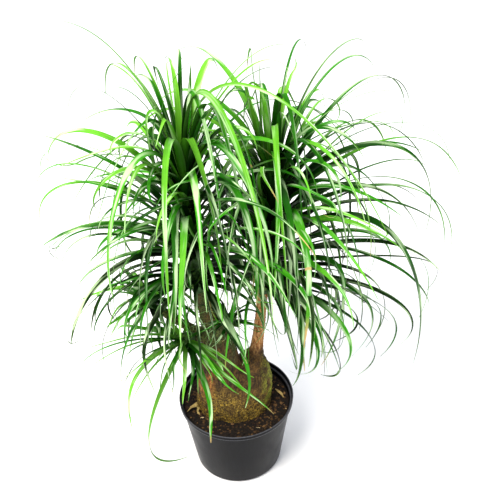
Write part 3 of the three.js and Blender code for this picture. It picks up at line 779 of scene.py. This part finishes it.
def scrapLines():
    lines = []
    for corners, width in zip(scraps["lines"], scraps["width"]):
        corners = np.array(corners, float)
        marks = np.linspace(0, len(corners) - 1, scraps["steps"] * (len(corners) - 1) + 1)
        place = np.stack([np.interp(marks, range(len(corners)), corners[:, k]) for k in range(3)], 1)
        place[1:-1] = (place[:-2] + 2 * place[1:-1] + place[2:]) / 4
        t = marks / marks[-1]
        turn = scraps["roll"] * np.sin(3 * t + width)
        upper = np.stack((np.sin(turn) * 0.7, 0.5 * np.cos(turn), np.abs(np.cos(turn)) + 0.3), 1)
        half = 0.5 * width * (0.35 + np.sin(math.pi * t) ** 0.7)
        wide = squareTo(place, np.cross(upper, np.gradient(place, axis=0)))
        lines.append((place, wide, half, np.full(len(t), 0.9), 0.4, -1.0, 2))
    return lines


finished(grown("dry_leaf_scraps", pathMesh("scrap_paths", scrapLines()), leafTree, bladeInputs, 50), "leaf")
print("dry scraps laid")


# Stems: the core of each head, wrapped in the clasping feet of its leaves; sizes in mm

stemLook = {
    "sides": 18, "rings": 40, "grow": 0.6, "ripple": 0.05,  # the last two swell the core under its feet
    "footPerMm": 0.95, "footLength": 17, "footWidth": 9, "footRows": 6, "footColumns": 5, "footSkin": 0.7,
    "sunk": 0.4, "lean": 0.22, "topFoot": 0.97, "smallest": 0.7, "largest": 1.15,
    "footNarrows": 0.55, "footSwell": 1.1, "footOpens": 3.2, "footCups": 2.4,  # the last three in mm
    "greens": ((0, "#12280a"), (0.55, "#2c5214"), (1, "#5f7f30")),
}


# Sweeps a round section along each path.
def roundTree(material):
    tree, add, given = treeWith("round stems", Sides="Int")
    circle = add("GeometryNodeCurvePrimitiveCircle", {"Resolution": given["Sides"], "Radius": 1.0})
    curves = add("GeometryNodeMeshToCurve", {"Mesh": given["Carrier"]})
    half = add("GeometryNodeInputNamedAttribute", {"Name": "halfWidth"}, data_type="FLOAT")
    swept = add("GeometryNodeCurveToMesh", {
        "Curve": curves, "Profile Curve": circle, "Scale": half, "Fill Caps": True,
    })
    return endTree(tree, swept, material)


# One clasping leaf foot: a short curved tongue that stands up along +Z and bulges along +X.
def footMesh():
    rows, columns = stemLook["footRows"], stemLook["footColumns"]
    places = []
    for skin in (0.0, -stemLook["footSkin"]):
        for i in range(rows):
            up = i / (rows - 1)
            half = 0.5 * stemLook["footWidth"] * (1 - stemLook["footNarrows"] * up ** 1.6)
            for k in range(columns):
                side = 2 * k / (columns - 1) - 1
                bulge = stemLook["footSwell"] * math.sin(math.pi * up) + stemLook["footOpens"] * up ** 3
                bulge -= stemLook["footCups"] * side * side * (1 - 0.4 * up)
                places.append((bulge + skin, half * side, stemLook["footLength"] * up))
    outer = lambda i, k: i * columns + k
    inner = lambda i, k: rows * columns + i * columns + k
    faces = []
    for i in range(rows - 1):
        for k in range(columns - 1):
            faces.append((outer(i, k), outer(i, k + 1), outer(i + 1, k + 1), outer(i + 1, k)))
            faces.append((inner(i, k), inner(i + 1, k), inner(i + 1, k + 1), inner(i, k + 1)))
    rim = [(0, k) for k in range(columns)] + [(i, columns - 1) for i in range(1, rows)]
    rim += [(rows - 1, k) for k in range(columns - 2, -1, -1)] + [(i, 0) for i in range(rows - 2, 0, -1)]
    for here, there in zip(rim, rim[1:] + rim[:1]):
        faces.append((outer(*there), outer(*here), inner(*here), inner(*there)))
    return newMesh("clasping foot", places, faces)


strewnInputs = {"Seed": "Int", "Smallest": "Float", "Largest": "Float"}


# Ends a tree with the element on each point, sized and toned at random.
def endStrewn(tree, add, given, points, turn, sizeSeed, material):
    size = add("FunctionNodeRandomValue", {2: given["Smallest"], 3: given["Largest"], "Seed": sizeSeed},
               data_type="FLOAT")
    placed = add("GeometryNodeInstanceOnPoints", {
        "Points": points, "Rotation": turn, "Scale": size,
        "Instance": add("GeometryNodeObjectInfo", {"Object": given["Element"]}).outputs["Geometry"],
    })
    tone = add("FunctionNodeRandomValue", {"Seed": given["Seed"]}, data_type="FLOAT")
    toned = add("GeometryNodeStoreNamedAttribute", {"Geometry": placed, "Name": "tone", "Value": tone},
                data_type="FLOAT", domain="INSTANCE")
    return endTree(tree, toned, material)


# Sets one foot on each point of the carrier, turned outwards, each a little different.
def feetTree(material):
    tree, add, given = treeWith("clasping feet", Element="Object", **strewnInputs)
    turn = add("FunctionNodeAxesToRotation", [
        add("GeometryNodeInputNamedAttribute", {"Name": name}, data_type="FLOAT_VECTOR")
        for name in ("alongStem", "outward")
    ], primary_axis="Z", secondary_axis="X")
    points = add("GeometryNodeMeshToPoints", {"Mesh": given["Carrier"]})
    return endStrewn(tree, add, given, points, turn, given["Seed"], material)


# Leaf feet: papery and pale green where they are young, dark and dull where they are old.
def footMaterial():
    material, add, place, tone = newMaterial("papery leaf feet", "tone")
    stretched = add("Mapping", {"Vector": place, "Scale": (900.0, 900.0, 90.0)})
    fibre = add("TexNoise", {"Vector": stretched, "Scale": 1.0, "Detail": 2.0})
    fibreShade = add("Math", [fibre, 0.3], operation="MULTIPLY")
    shade = add("Math", [tone, 0.7, fibreShade], operation="MULTIPLY_ADD")
    colour = add("ValToRGB", [shade], stops=stemLook["greens"])
    bump = add("Bump", {"Strength": 0.5, "Distance": 0.0006, "Height": fibre})
    return withSurface(material, {"Base Color": colour, "Roughness": 0.62, "Normal": bump})


def stemRing(head, share):
    path = stemPoints(head)
    radii = [head["seatRadius"], *head["radii"]]
    place = share * (len(path) - 1)
    i = min(int(place), len(path) - 2)
    along = path[i + 1] - path[i]
    part = place - i
    return path[i] + along * part, blendPair(radii[i:i + 2], part), along / np.linalg.norm(along)


papery = footMaterial()
stemTree, wrapTree = roundTree(papery), feetTree(papery)
footElement = newObject("clasping foot", footMesh())

for name, head in heads.items():
    shares = np.linspace(0, 1, stemLook["rings"])
    rings = [stemRing(head, share) for share in shares]
    centres, reaches = np.array([ring[0] for ring in rings]), np.array([ring[1] for ring in rings])
    radius = reaches * (1 + stemLook["ripple"] * np.sin(shares * 90)) + stemLook["grow"]
    wide = np.tile((0.0, 1.0, 0.0), (len(shares), 1))
    carrier = pathMesh(name + "_stem_path", [(centres, wide, radius, shares, 0.35, 1.2, 2)])
    finished(grown(name + "_stem", carrier, stemTree, {"Sides": stemLook["sides"]}, 60), "leaf")
    number = int(sum(np.linalg.norm(b - a) for a, b in zip(centres, centres[1:])) * stemLook["footPerMm"])
    points, alongs, outs = [], [], []
    for i in range(number):
        centre, reach, along = stemRing(head, stemLook["topFoot"] * (i + 0.5) / number)
        turn = math.radians(leafRule["goldenAngle"] * i)
        side = np.cross(along, (0.0, 1.0, 0.0))
        side /= np.linalg.norm(side)
        out = side * math.cos(turn) + np.cross(along, side) * math.sin(turn)
        points.append(centre + out * (reach - stemLook["sunk"]))
        alongs.append(along + stemLook["lean"] * out)
        outs.append(out)
    mesh = newMesh(name + "_feet_points", points)
    setAttribute(mesh, "alongStem", "FLOAT_VECTOR", alongs)
    setAttribute(mesh, "outward", "FLOAT_VECTOR", outs)
    finished(grown(name + "_feet", newObject(name + "_feet_points", mesh), wrapTree, {
        "Element": footElement, "Seed": head["seed"],
        "Smallest": stemLook["smallest"], "Largest": stemLook["largest"],
    }, 50), "leaf")
bpy.data.objects.remove(footElement)
print("stems wrapped")


# Woody base and trunks: the solid's own form, remeshed fine and given its bark

bark = {
    "voxel": 0.0017, "smoothing": 10,
    "lump": 1.6, "lumpSize": 26,  # heights and sizes in mm
    "plate": 0.9, "plateSize": (5.2, 5.2, 6.5),
    "crust": 1.1, "crustSize": (15, 15, 20),
    "fibre": 0.75, "fibreSize": (2.6, 2.6, 22),
    "scar": 0.4, "scarSpacing": 6.0,
    # how strong each is on the trunks and on the bulb
    "lumpShare": (0.4, 1), "plateShare": (0.25, 1), "crackShare": (0.3, 1), "fibreShare": (1, 0.5),
    # colours from the bottom up: where a layer lies, how it breaks up into patches, how strong it is, its
    # ground, and the marks on that: what they follow, from where to where, how strong, and their colour
    "layers": (
        # The ground shows above the golden low band: dark brown, partly the bark's own colour, partly painted
        # shade from the leaves.
        ("", (0, 0), 1, "#22170a", [
            ("fibre", 0.35, 0.62, 1, "#5e461e"), ("patch", 0.5, 0.66, 0.6, "#775629"),
        ]),
        ("ochre", (0.4, 0.56), 1, "#6b3a14", [("fibre", 0.38, 0.6, 1, "#b8783a")]),
        ("low", (0.3, 0.52), 1, "#32220a", [
            ("speck", 0.4, 0.6, 1, "#9a7a26"), ("grain", 0.58, 0.72, 1, "#dcc05c"),
        ]),
        ("mossy", (0.42, 0.56), 1, "#5d6414", [("grain", 0.4, 0.62, 1, "#a9ac38")]),
        ("rightTrunk", (-1, 0), 1, "#8a5427", [
            ("fibre", 0.38, 0.6, 1, "#cf9c63"), ("speck", 0.6, 0.68, 1, "#4b2b15"),
        ]),
        ("leftTrunk", (0.3, 0.5), 1, "#20260c", [("speck", 0.35, 0.65, 1, "#56602a")]),
        ("crack", (-1, 0), 0.75, "#1f130a", []),
    ),
    # where the bark changes, from and to
    "trunkFrom": (228, 262), "rightFrom": (2, 14), "lowUpTo": (150, 205), "bare": (100, 112),
    "ochreWithin": ((-26, -44), (132, 160)), "mossWithin": ((38, 54), (128, 150), (205, 240)),
    "plateEdge": 0.2, "crustEdge": 0.12,
    "lowWave": (14, 17), "crustStray": (7, 9),  # in mm: how far they wander, and over what length
}


def mergedCopy(node):
    work = bmesh.new()
    work.from_mesh(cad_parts[node].data)
    bmesh.ops.remove_doubles(work, verts=work.verts, dist=1e-5)
    return meshOf(work, node)


def cellEdge(place, size):
    near = noise.voronoi(Vector(c / s for c, s in zip(place, size)))[0]
    return near[1] - near[0]


def barkMesh():
    carrier = newObject("wood", mergedCopy("caudex"))
    remesh = carrier.modifiers.new("remesh", "REMESH")
    remesh.mode, remesh.voxel_size = "VOXEL", bark["voxel"]
    smooth = carrier.modifiers.new("smooth", "SMOOTH")
    smooth.factor, smooth.iterations = 0.5, bark["smoothing"]
    mesh = evaluated(carrier)
    bpy.data.objects.remove(carrier)
    count = len(mesh.vertices)
    place, normal = np.empty(count * 3), np.empty(count * 3)
    mesh.vertices.foreach_get("co", place)
    mesh.vertices.foreach_get("normal", normal)
    place, normal = place.reshape(-1, 3) * 1000, normal.reshape(-1, 3)
    x, y, z = place.T
    trunk, right = smoothstep(*bark["trunkFrom"], z), smoothstep(*bark["rightFrom"], x)
    (ochreX, ochreZ), (mossX, mossZ, mossTop) = bark["ochreWithin"], bark["mossWithin"]
    looks = {
        "low": 1 - smoothstep(*bark["lowUpTo"], z + bark["lowWave"][0] * np.sin(x / bark["lowWave"][1])),
        "rightTrunk": trunk * right, "leftTrunk": trunk * (1 - right),
        "ochre": smoothstep(*ochreX, x) * smoothstep(*ochreZ, z) * (1 - trunk),
        "mossy": smoothstep(*mossX, x) * smoothstep(*mossZ, z) * (1 - smoothstep(*mossTop, z)),
        "crack": np.zeros(count),
    }
    raised = np.zeros(count)
    for i, p in enumerate(place):
        woody = 1 - trunk[i]
        stray = bark["crustStray"][0] * noise.noise(Vector(p / bark["crustStray"][1]))
        crust = cellEdge(p + stray, bark["crustSize"])
        plateCrack = 1 - min(1, cellEdge(p, bark["plateSize"]) / bark["plateEdge"])
        crustCrack = (1 - min(1, crust / bark["crustEdge"])) * woody
        fibre = noise.noise(Vector(c / s for c, s in zip(p, bark["fibreSize"])))
        looks["crack"][i] = max(plateCrack * blendPair(bark["crackShare"], woody), crustCrack)
        lump = noise.noise(Vector(p / bark["lumpSize"]))
        raised[i] = bark["lump"] * lump * blendPair(bark["lumpShare"], woody)
        raised[i] += bark["fibre"] * fibre * blendPair(bark["fibreShare"], woody) - bark["crust"] * crustCrack
        raised[i] -= bark["plate"] * plateCrack * blendPair(bark["plateShare"], woody)
    raised += bark["scar"] * np.sin(z * 2 * np.pi / bark["scarSpacing"] + 1.5 * np.sin(x / 5)) * trunk
    place += normal * (raised * smoothstep(*bark["bare"], z))[:, None]  # the wood in the mix stays as it is
    mesh.vertices.foreach_set("co", (place / 1000).ravel())
    for key, value in looks.items():
        setAttribute(mesh, key, "FLOAT", value)
    mesh.update()
    return mesh


# Cork bark: dry, matt, golden and speckled low on the bulb, rusty on its left, dark brown above, partly its
# own colour and partly painted shade from the leaves, mossy on the right lobe and the old trunk, tan on the
# young one; cracks are dark.
def barkMaterial():
    areas = [layer[0] for layer in bark["layers"][1:]]
    material, add, place, *values = newMaterial("corky plant bark", *areas)
    look = {name: add("TexNoise", {"Vector": place, "Scale": scale, "Detail": detail})
            for name, scale, detail in (("speck", 330.0, 2.0), ("patch", 45.0, 3.0), ("grain", 900.0, 1.0))}
    fibrePlace = add("Mapping", {"Vector": place, "Scale": (420.0, 420.0, 50.0)})
    look["fibre"] = add("TexNoise", {"Vector": fibrePlace, "Scale": 1.0, "Detail": 3.0})
    for value, (area, edge, strength, ground, marks) in zip([None, *values], bark["layers"]):
        colour = ground
        for pattern, low, high, most, tint in marks:
            share = add("MapRange", [look[pattern], low, high, 0.0, most])
            colour = add("Mix", {0: share, 6: colour, 7: tint}, data_type="RGBA")
        if value:
            patchy = add("MapRange", [look["patch"], *edge, 0.0, strength])
            share = add("Math", [value, patchy], operation="MULTIPLY")
            colour = add("Mix", {0: share, 6: base, 7: colour}, data_type="RGBA")
        base = colour
    relief = add("Math", [look["speck"], look["fibre"]], operation="ADD")
    bump = add("Bump", {"Strength": 0.8, "Distance": 0.0012, "Height": relief})
    return withSurface(material, {
        "Base Color": base, "Roughness": 0.85, "Specular IOR Level": 0.3, "Normal": bump,
    })


wood = newObject("caudex_bark", barkMesh())
wood.data.shade_smooth()
wood.data.materials.append(barkMaterial())
finished(wood, "bark", "caudex")
print("bark", len(wood.data.polygons), "faces")


# Pot: a thin black nursery pot with a turned-out band under its lip; sizes in mm

pot = {
    "sides": 144,
    "rim": 95, "height": 139, "base": 72, "wall": 1.6, "band": 9, "step": 4, "draft": 0.6,
    "flat": 40, "heel": 7, "heelPoints": 7, "lip": 0.7, "bandRound": 0.7, "bandEdge": 131.2,
    "holes": 6, "holeRadius": 5, "holeRing": 52,
    # The paler lip and band foot are a painted highlight.
    "blacks": ((0.25, "#020203"), (1, "#0a0b0f")), "paintedShine": "#4a4b50", "paintedShineWidth": (0.6, 1.2),
}


def arc(centre, radius, start, end, points):
    angles = np.radians(np.linspace(start, end, points))
    return [(centre[0] + radius * math.cos(a), centre[1] + radius * math.sin(a)) for a in angles]


def potProfile():
    neck, foot = pot["rim"] - pot["step"], pot["height"] - pot["band"]
    wall, lip, heel, bend = pot["wall"], pot["lip"], pot["heel"], pot["bandRound"]
    bandFoot = pot["rim"] - pot["draft"]
    heelCentre = (pot["base"] - heel, heel)
    outer = [(0, 0), (pot["flat"], 0)] + arc(heelCentre, heel, -90, -8, pot["heelPoints"])
    outer.append(((outer[-1][0] + neck) / 2, (outer[-1][1] + foot) / 2))
    outer += [(neck, foot - 0.4), (neck + 0.5, foot), (bandFoot - 0.6, foot + 0.5)]  # a soft fold
    outer += arc((bandFoot - bend, foot + 1.2), bend, -90, 0, 4)
    outer += arc((pot["rim"] - lip, pot["height"] - lip), lip, 5, 90, 5)
    inner = [(0, wall), (pot["flat"], wall)] + arc(heelCentre, heel - wall, -90, -8, pot["heelPoints"])
    inner += [(neck - wall, foot), (bandFoot - wall, foot + 1 + wall)]
    inner += arc((pot["rim"] - wall + lip, pot["height"] - lip), lip, 175, 90, 5)[:-1]
    return outer + inner[::-1]


def potMesh():
    work = bmesh.new()
    corners = [work.verts.new((r / 1000, 0, z / 1000)) for r, z in potProfile()]
    edges = [work.edges.new(pair) for pair in zip(corners, corners[1:])]
    bmesh.ops.spin(work, geom=corners + edges, cent=(0, 0, 0), axis=(0, 0, 1), angle=2 * math.pi,
                   steps=pot["sides"], use_merge=True)
    bmesh.ops.remove_doubles(work, verts=work.verts, dist=1e-6)
    bmesh.ops.recalc_face_normals(work, faces=work.faces)
    shell = newObject("pot shell", meshOf(work, "pot"))
    cutters = bmesh.new()
    radius, ring = pot["holeRadius"] / 1000, pot["holeRing"] / 1000
    for x, y in arc((0, 0), ring, 0, 360, pot["holes"] + 1)[:-1]:
        bmesh.ops.create_cone(cutters, cap_ends=True, segments=28, radius1=radius, radius2=radius, depth=0.02,
                              matrix=Matrix.Translation((x, y, 0)))
    holes = newObject("holes", meshOf(cutters, "holes"))
    cut = shell.modifiers.new("holes", "BOOLEAN")
    cut.operation, cut.solver, cut.object = "DIFFERENCE", "EXACT", holes
    made = evaluated(shell)
    for spent in (shell, holes):
        bpy.data.objects.remove(spent)
    return made


# Polypropylene nursery pot: vacuum-formed, charcoal black, satin, with faint draw marks and dust; its lip
# and the foot of its band are painted paler as a painted highlight.
def potMaterial():
    material, add, place = newMaterial("satin black polypropylene")
    cloud = add("TexNoise", {"Vector": place, "Scale": 28.0, "Detail": 4.0})
    grit = add("TexNoise", {"Vector": place, "Scale": 700.0, "Detail": 1.0})
    drawn = add("Mapping", {"Vector": place, "Scale": (260.0, 260.0, 9.0)})
    marks = add("TexNoise", {"Vector": drawn, "Scale": 1.0, "Detail": 2.0})
    worn = add("Math", [cloud, marks], operation="MULTIPLY")
    dust = add("Math", [worn, 3.0], operation="MULTIPLY")
    colour = add("ValToRGB", [dust], stops=pot["blacks"])
    height = add("SeparateXYZ", [place]).outputs["Z"]
    # Painted highlight: a paler line along the foot of the band and along the lip.
    offBand = add("Math", [height, pot["bandEdge"] / 1000], operation="SUBTRACT")
    fromBand = add("Math", [offBand], operation="ABSOLUTE")
    near, far = (width / 1000 for width in pot["paintedShineWidth"])
    top = pot["height"] / 1000
    bandEdge = add("MapRange", [fromBand, near, far, 1.0, 0.0])
    lipEdge = add("MapRange", [height, top - 1.5 * far, top - far, 0.0, 1.0])
    edge = add("Math", [bandEdge, lipEdge], operation="MAXIMUM")
    uneven = add("Math", [marks, 0.35], operation="ADD")
    paintedShine = add("Math", [edge, uneven], operation="MULTIPLY")
    relief = add("Math", [grit, marks], operation="ADD")
    return withSurface(material, {
        "Base Color": add("Mix", {0: paintedShine, 6: colour, 7: pot["paintedShine"]}, data_type="RGBA"),
        "Roughness": add("MapRange", [cloud, 0.3, 0.7, 0.28, 0.42]), "Specular IOR Level": 0.08,
        "Normal": add("Bump", {"Strength": 0.15, "Distance": 0.0004, "Height": relief}),
    })


potPiece = newObject("pot_shell", potMesh())
potPiece.data.materials.append(potMaterial())
smoothShade(potPiece.data, 32)
finished(potPiece, "pot_plastic", "pot")
print("pot", len(potPiece.data.polygons), "faces")


# Potting mix: a lumpy crumbled surface, with dark crumbs, bark chips and pale bits strewn on it; sizes in mm

mixLook = {
    "level": 124, "radius": 87.9, "waist": (72, 12), "floor": (62, 1.9),  # the last two: radius and height
    "rings": 46, "sides": 200,
    "swell": 2.6, "swellSize": 24, "crumb": 1.5, "crumbSize": 5,
    "strewnRadius": 84.5, "strewnFrom": 100,
    "colours": ("#040302", "#100a06", "#35220f"), "tone": 0.4,
}
strewn = {
    # pieces per square metre
    "mix_crumbs": dict(size=(4.8, 3.8, 3.4), dent=0.8, density=36000, seed=3, smallest=0.5, largest=1.4,
                       colours=("#040302", "#1b110a", "#5a4020")),
    "mix_bark_chips": dict(size=(9, 5, 2.6), dent=0.9, density=6500, seed=8, smallest=0.4, largest=1.2,
                           colours=("#0f0805", "#3d2713", "#80603a")),
    "mix_pale_bits": dict(size=(6, 2.6, 1.8), dent=0.9, density=2600, seed=21, smallest=0.4, largest=1.2,
                          colours=("#6d4c2a", "#b4925c", "#ead9ae")),
}


def mixHeight(x, y):
    swell = noise.noise(Vector((x, y, 40)) / mixLook["swellSize"])
    crumb = noise.noise(Vector((x, y, 90)) / mixLook["crumbSize"])
    return mixLook["level"] + mixLook["swell"] * swell + mixLook["crumb"] * crumb


def mixMesh():
    sides, rings = mixLook["sides"], mixLook["rings"]
    places = [(0, 0, mixHeight(0, 0))]
    turns = [2 * math.pi * k / sides for k in range(sides)]
    for i in range(rings):
        radius = mixLook["radius"] * (i + 1) / rings
        circle = [(radius * math.cos(turn), radius * math.sin(turn)) for turn in turns]
        places += [(x, y, mixHeight(x, y)) for x, y in circle]
    for radius, height in (mixLook["waist"], mixLook["floor"]):
        places += [(radius * math.cos(turn), radius * math.sin(turn), height) for turn in turns]
    places.append((0, 0, mixLook["floor"][1]))
    faces = [(0, 1 + k, 1 + (k + 1) % sides) for k in range(sides)]
    for i in range(rings + 1):
        first = 1 + i * sides
        for k in range(sides):
            after = (k + 1) % sides
            faces.append((first + k, first + sides + k, first + sides + after, first + after))
    last = 1 + (rings + 1) * sides
    faces += [(len(places) - 1, last + (k + 1) % sides, last + k) for k in range(sides)]
    mesh = newMesh("potting_mix", places, faces)
    mesh.shade_smooth()
    setAttribute(mesh, "tone", "FLOAT", np.full(len(places), mixLook["tone"]))
    return mesh


# Potting mix: damp peat and composted bark, nearly black between crumbs, reddish where bark shows.
def mixMaterial(name, colours, roughness):
    material, add, place, tone = newMaterial(name, "tone")
    fine = add("TexNoise", {"Vector": place, "Scale": 260.0, "Detail": 4.0})
    fineShade = add("Math", [fine, 0.6], operation="MULTIPLY")
    shade = add("Math", [tone, 0.6, fineShade], operation="MULTIPLY_ADD")
    return withSurface(material, {
        "Base Color": add("ValToRGB", [shade], stops=tuple(zip((0.15, 0.5, 0.95), colours))),
        "Roughness": roughness, "Specular IOR Level": 0.3,
        "Normal": add("Bump", {"Strength": 0.8, "Distance": 0.001, "Height": fine}),
    })


# Strews an element over the top of the mix, each turned and sized at random.
def strewTree(name, material):
    tree, add, given = treeWith(name, Element="Object", Density="Float", **strewnInputs)
    points = add("GeometryNodeDistributePointsOnFaces", {
        "Mesh": given["Carrier"], "Density": given["Density"], "Seed": given["Seed"],
    })
    turn = add("FunctionNodeRandomValue", {0: (-0.5, -0.5, 0.0), 1: (0.5, 0.5, 6.283), "Seed": given["Seed"]},
               data_type="FLOAT_VECTOR")
    sizeSeed = add("ShaderNodeMath", [given["Seed"], 1.0], operation="ADD")
    return endStrewn(tree, add, given, points, turn, sizeSeed, material)


# A rough crumb or chip: a small ball pressed to the given size in mm and dented by noise.
def crumbMesh(name, size, dent, offset):
    work = bmesh.new()
    bmesh.ops.create_icosphere(work, subdivisions=1, radius=1)
    for vertex in work.verts:
        place = vertex.co.copy()
        swell = 1 + dent * noise.noise(place * 1.7 + Vector((offset, 0, 0)))
        vertex.co = Vector(0.0005 * s * swell * c for s, c in zip(size, place))
    return meshOf(work, name)


# The part of the mix that shows, a little inside the wall of the pot.
def openTop(mesh):
    work = bmesh.new()
    work.from_mesh(mesh)
    reach, lowest = mixLook["strewnRadius"] / 1000, mixLook["strewnFrom"] / 1000
    hidden = [v for v in work.verts if math.hypot(v.co.x, v.co.y) > reach or v.co.z < lowest]
    bmesh.ops.delete(work, geom=hidden, context="VERTS")
    return meshOf(work, "strewn top")


mixPiece = newObject("potting_mix", mixMesh())
mixPiece.data.materials.append(mixMaterial("damp peat and bark", mixLook["colours"], 0.9))
finished(mixPiece, "potting_mix", "soil")

for name, look in strewn.items():
    material = mixMaterial(name.replace("_", " "), look["colours"], 0.85)
    element = newObject("element", crumbMesh(name, look["size"], look["dent"], look["seed"]))
    piece = grown(name, newObject("strewn top", openTop(mixPiece.data)), strewTree(name, material), {
        "Element": element, "Density": float(look["density"]), "Seed": look["seed"],
        "Smallest": look["smallest"], "Largest": look["largest"],
    })
    bpy.data.objects.remove(element)
    finished(piece, "potting_mix")
    print(name, len(piece.data.polygons), "faces")
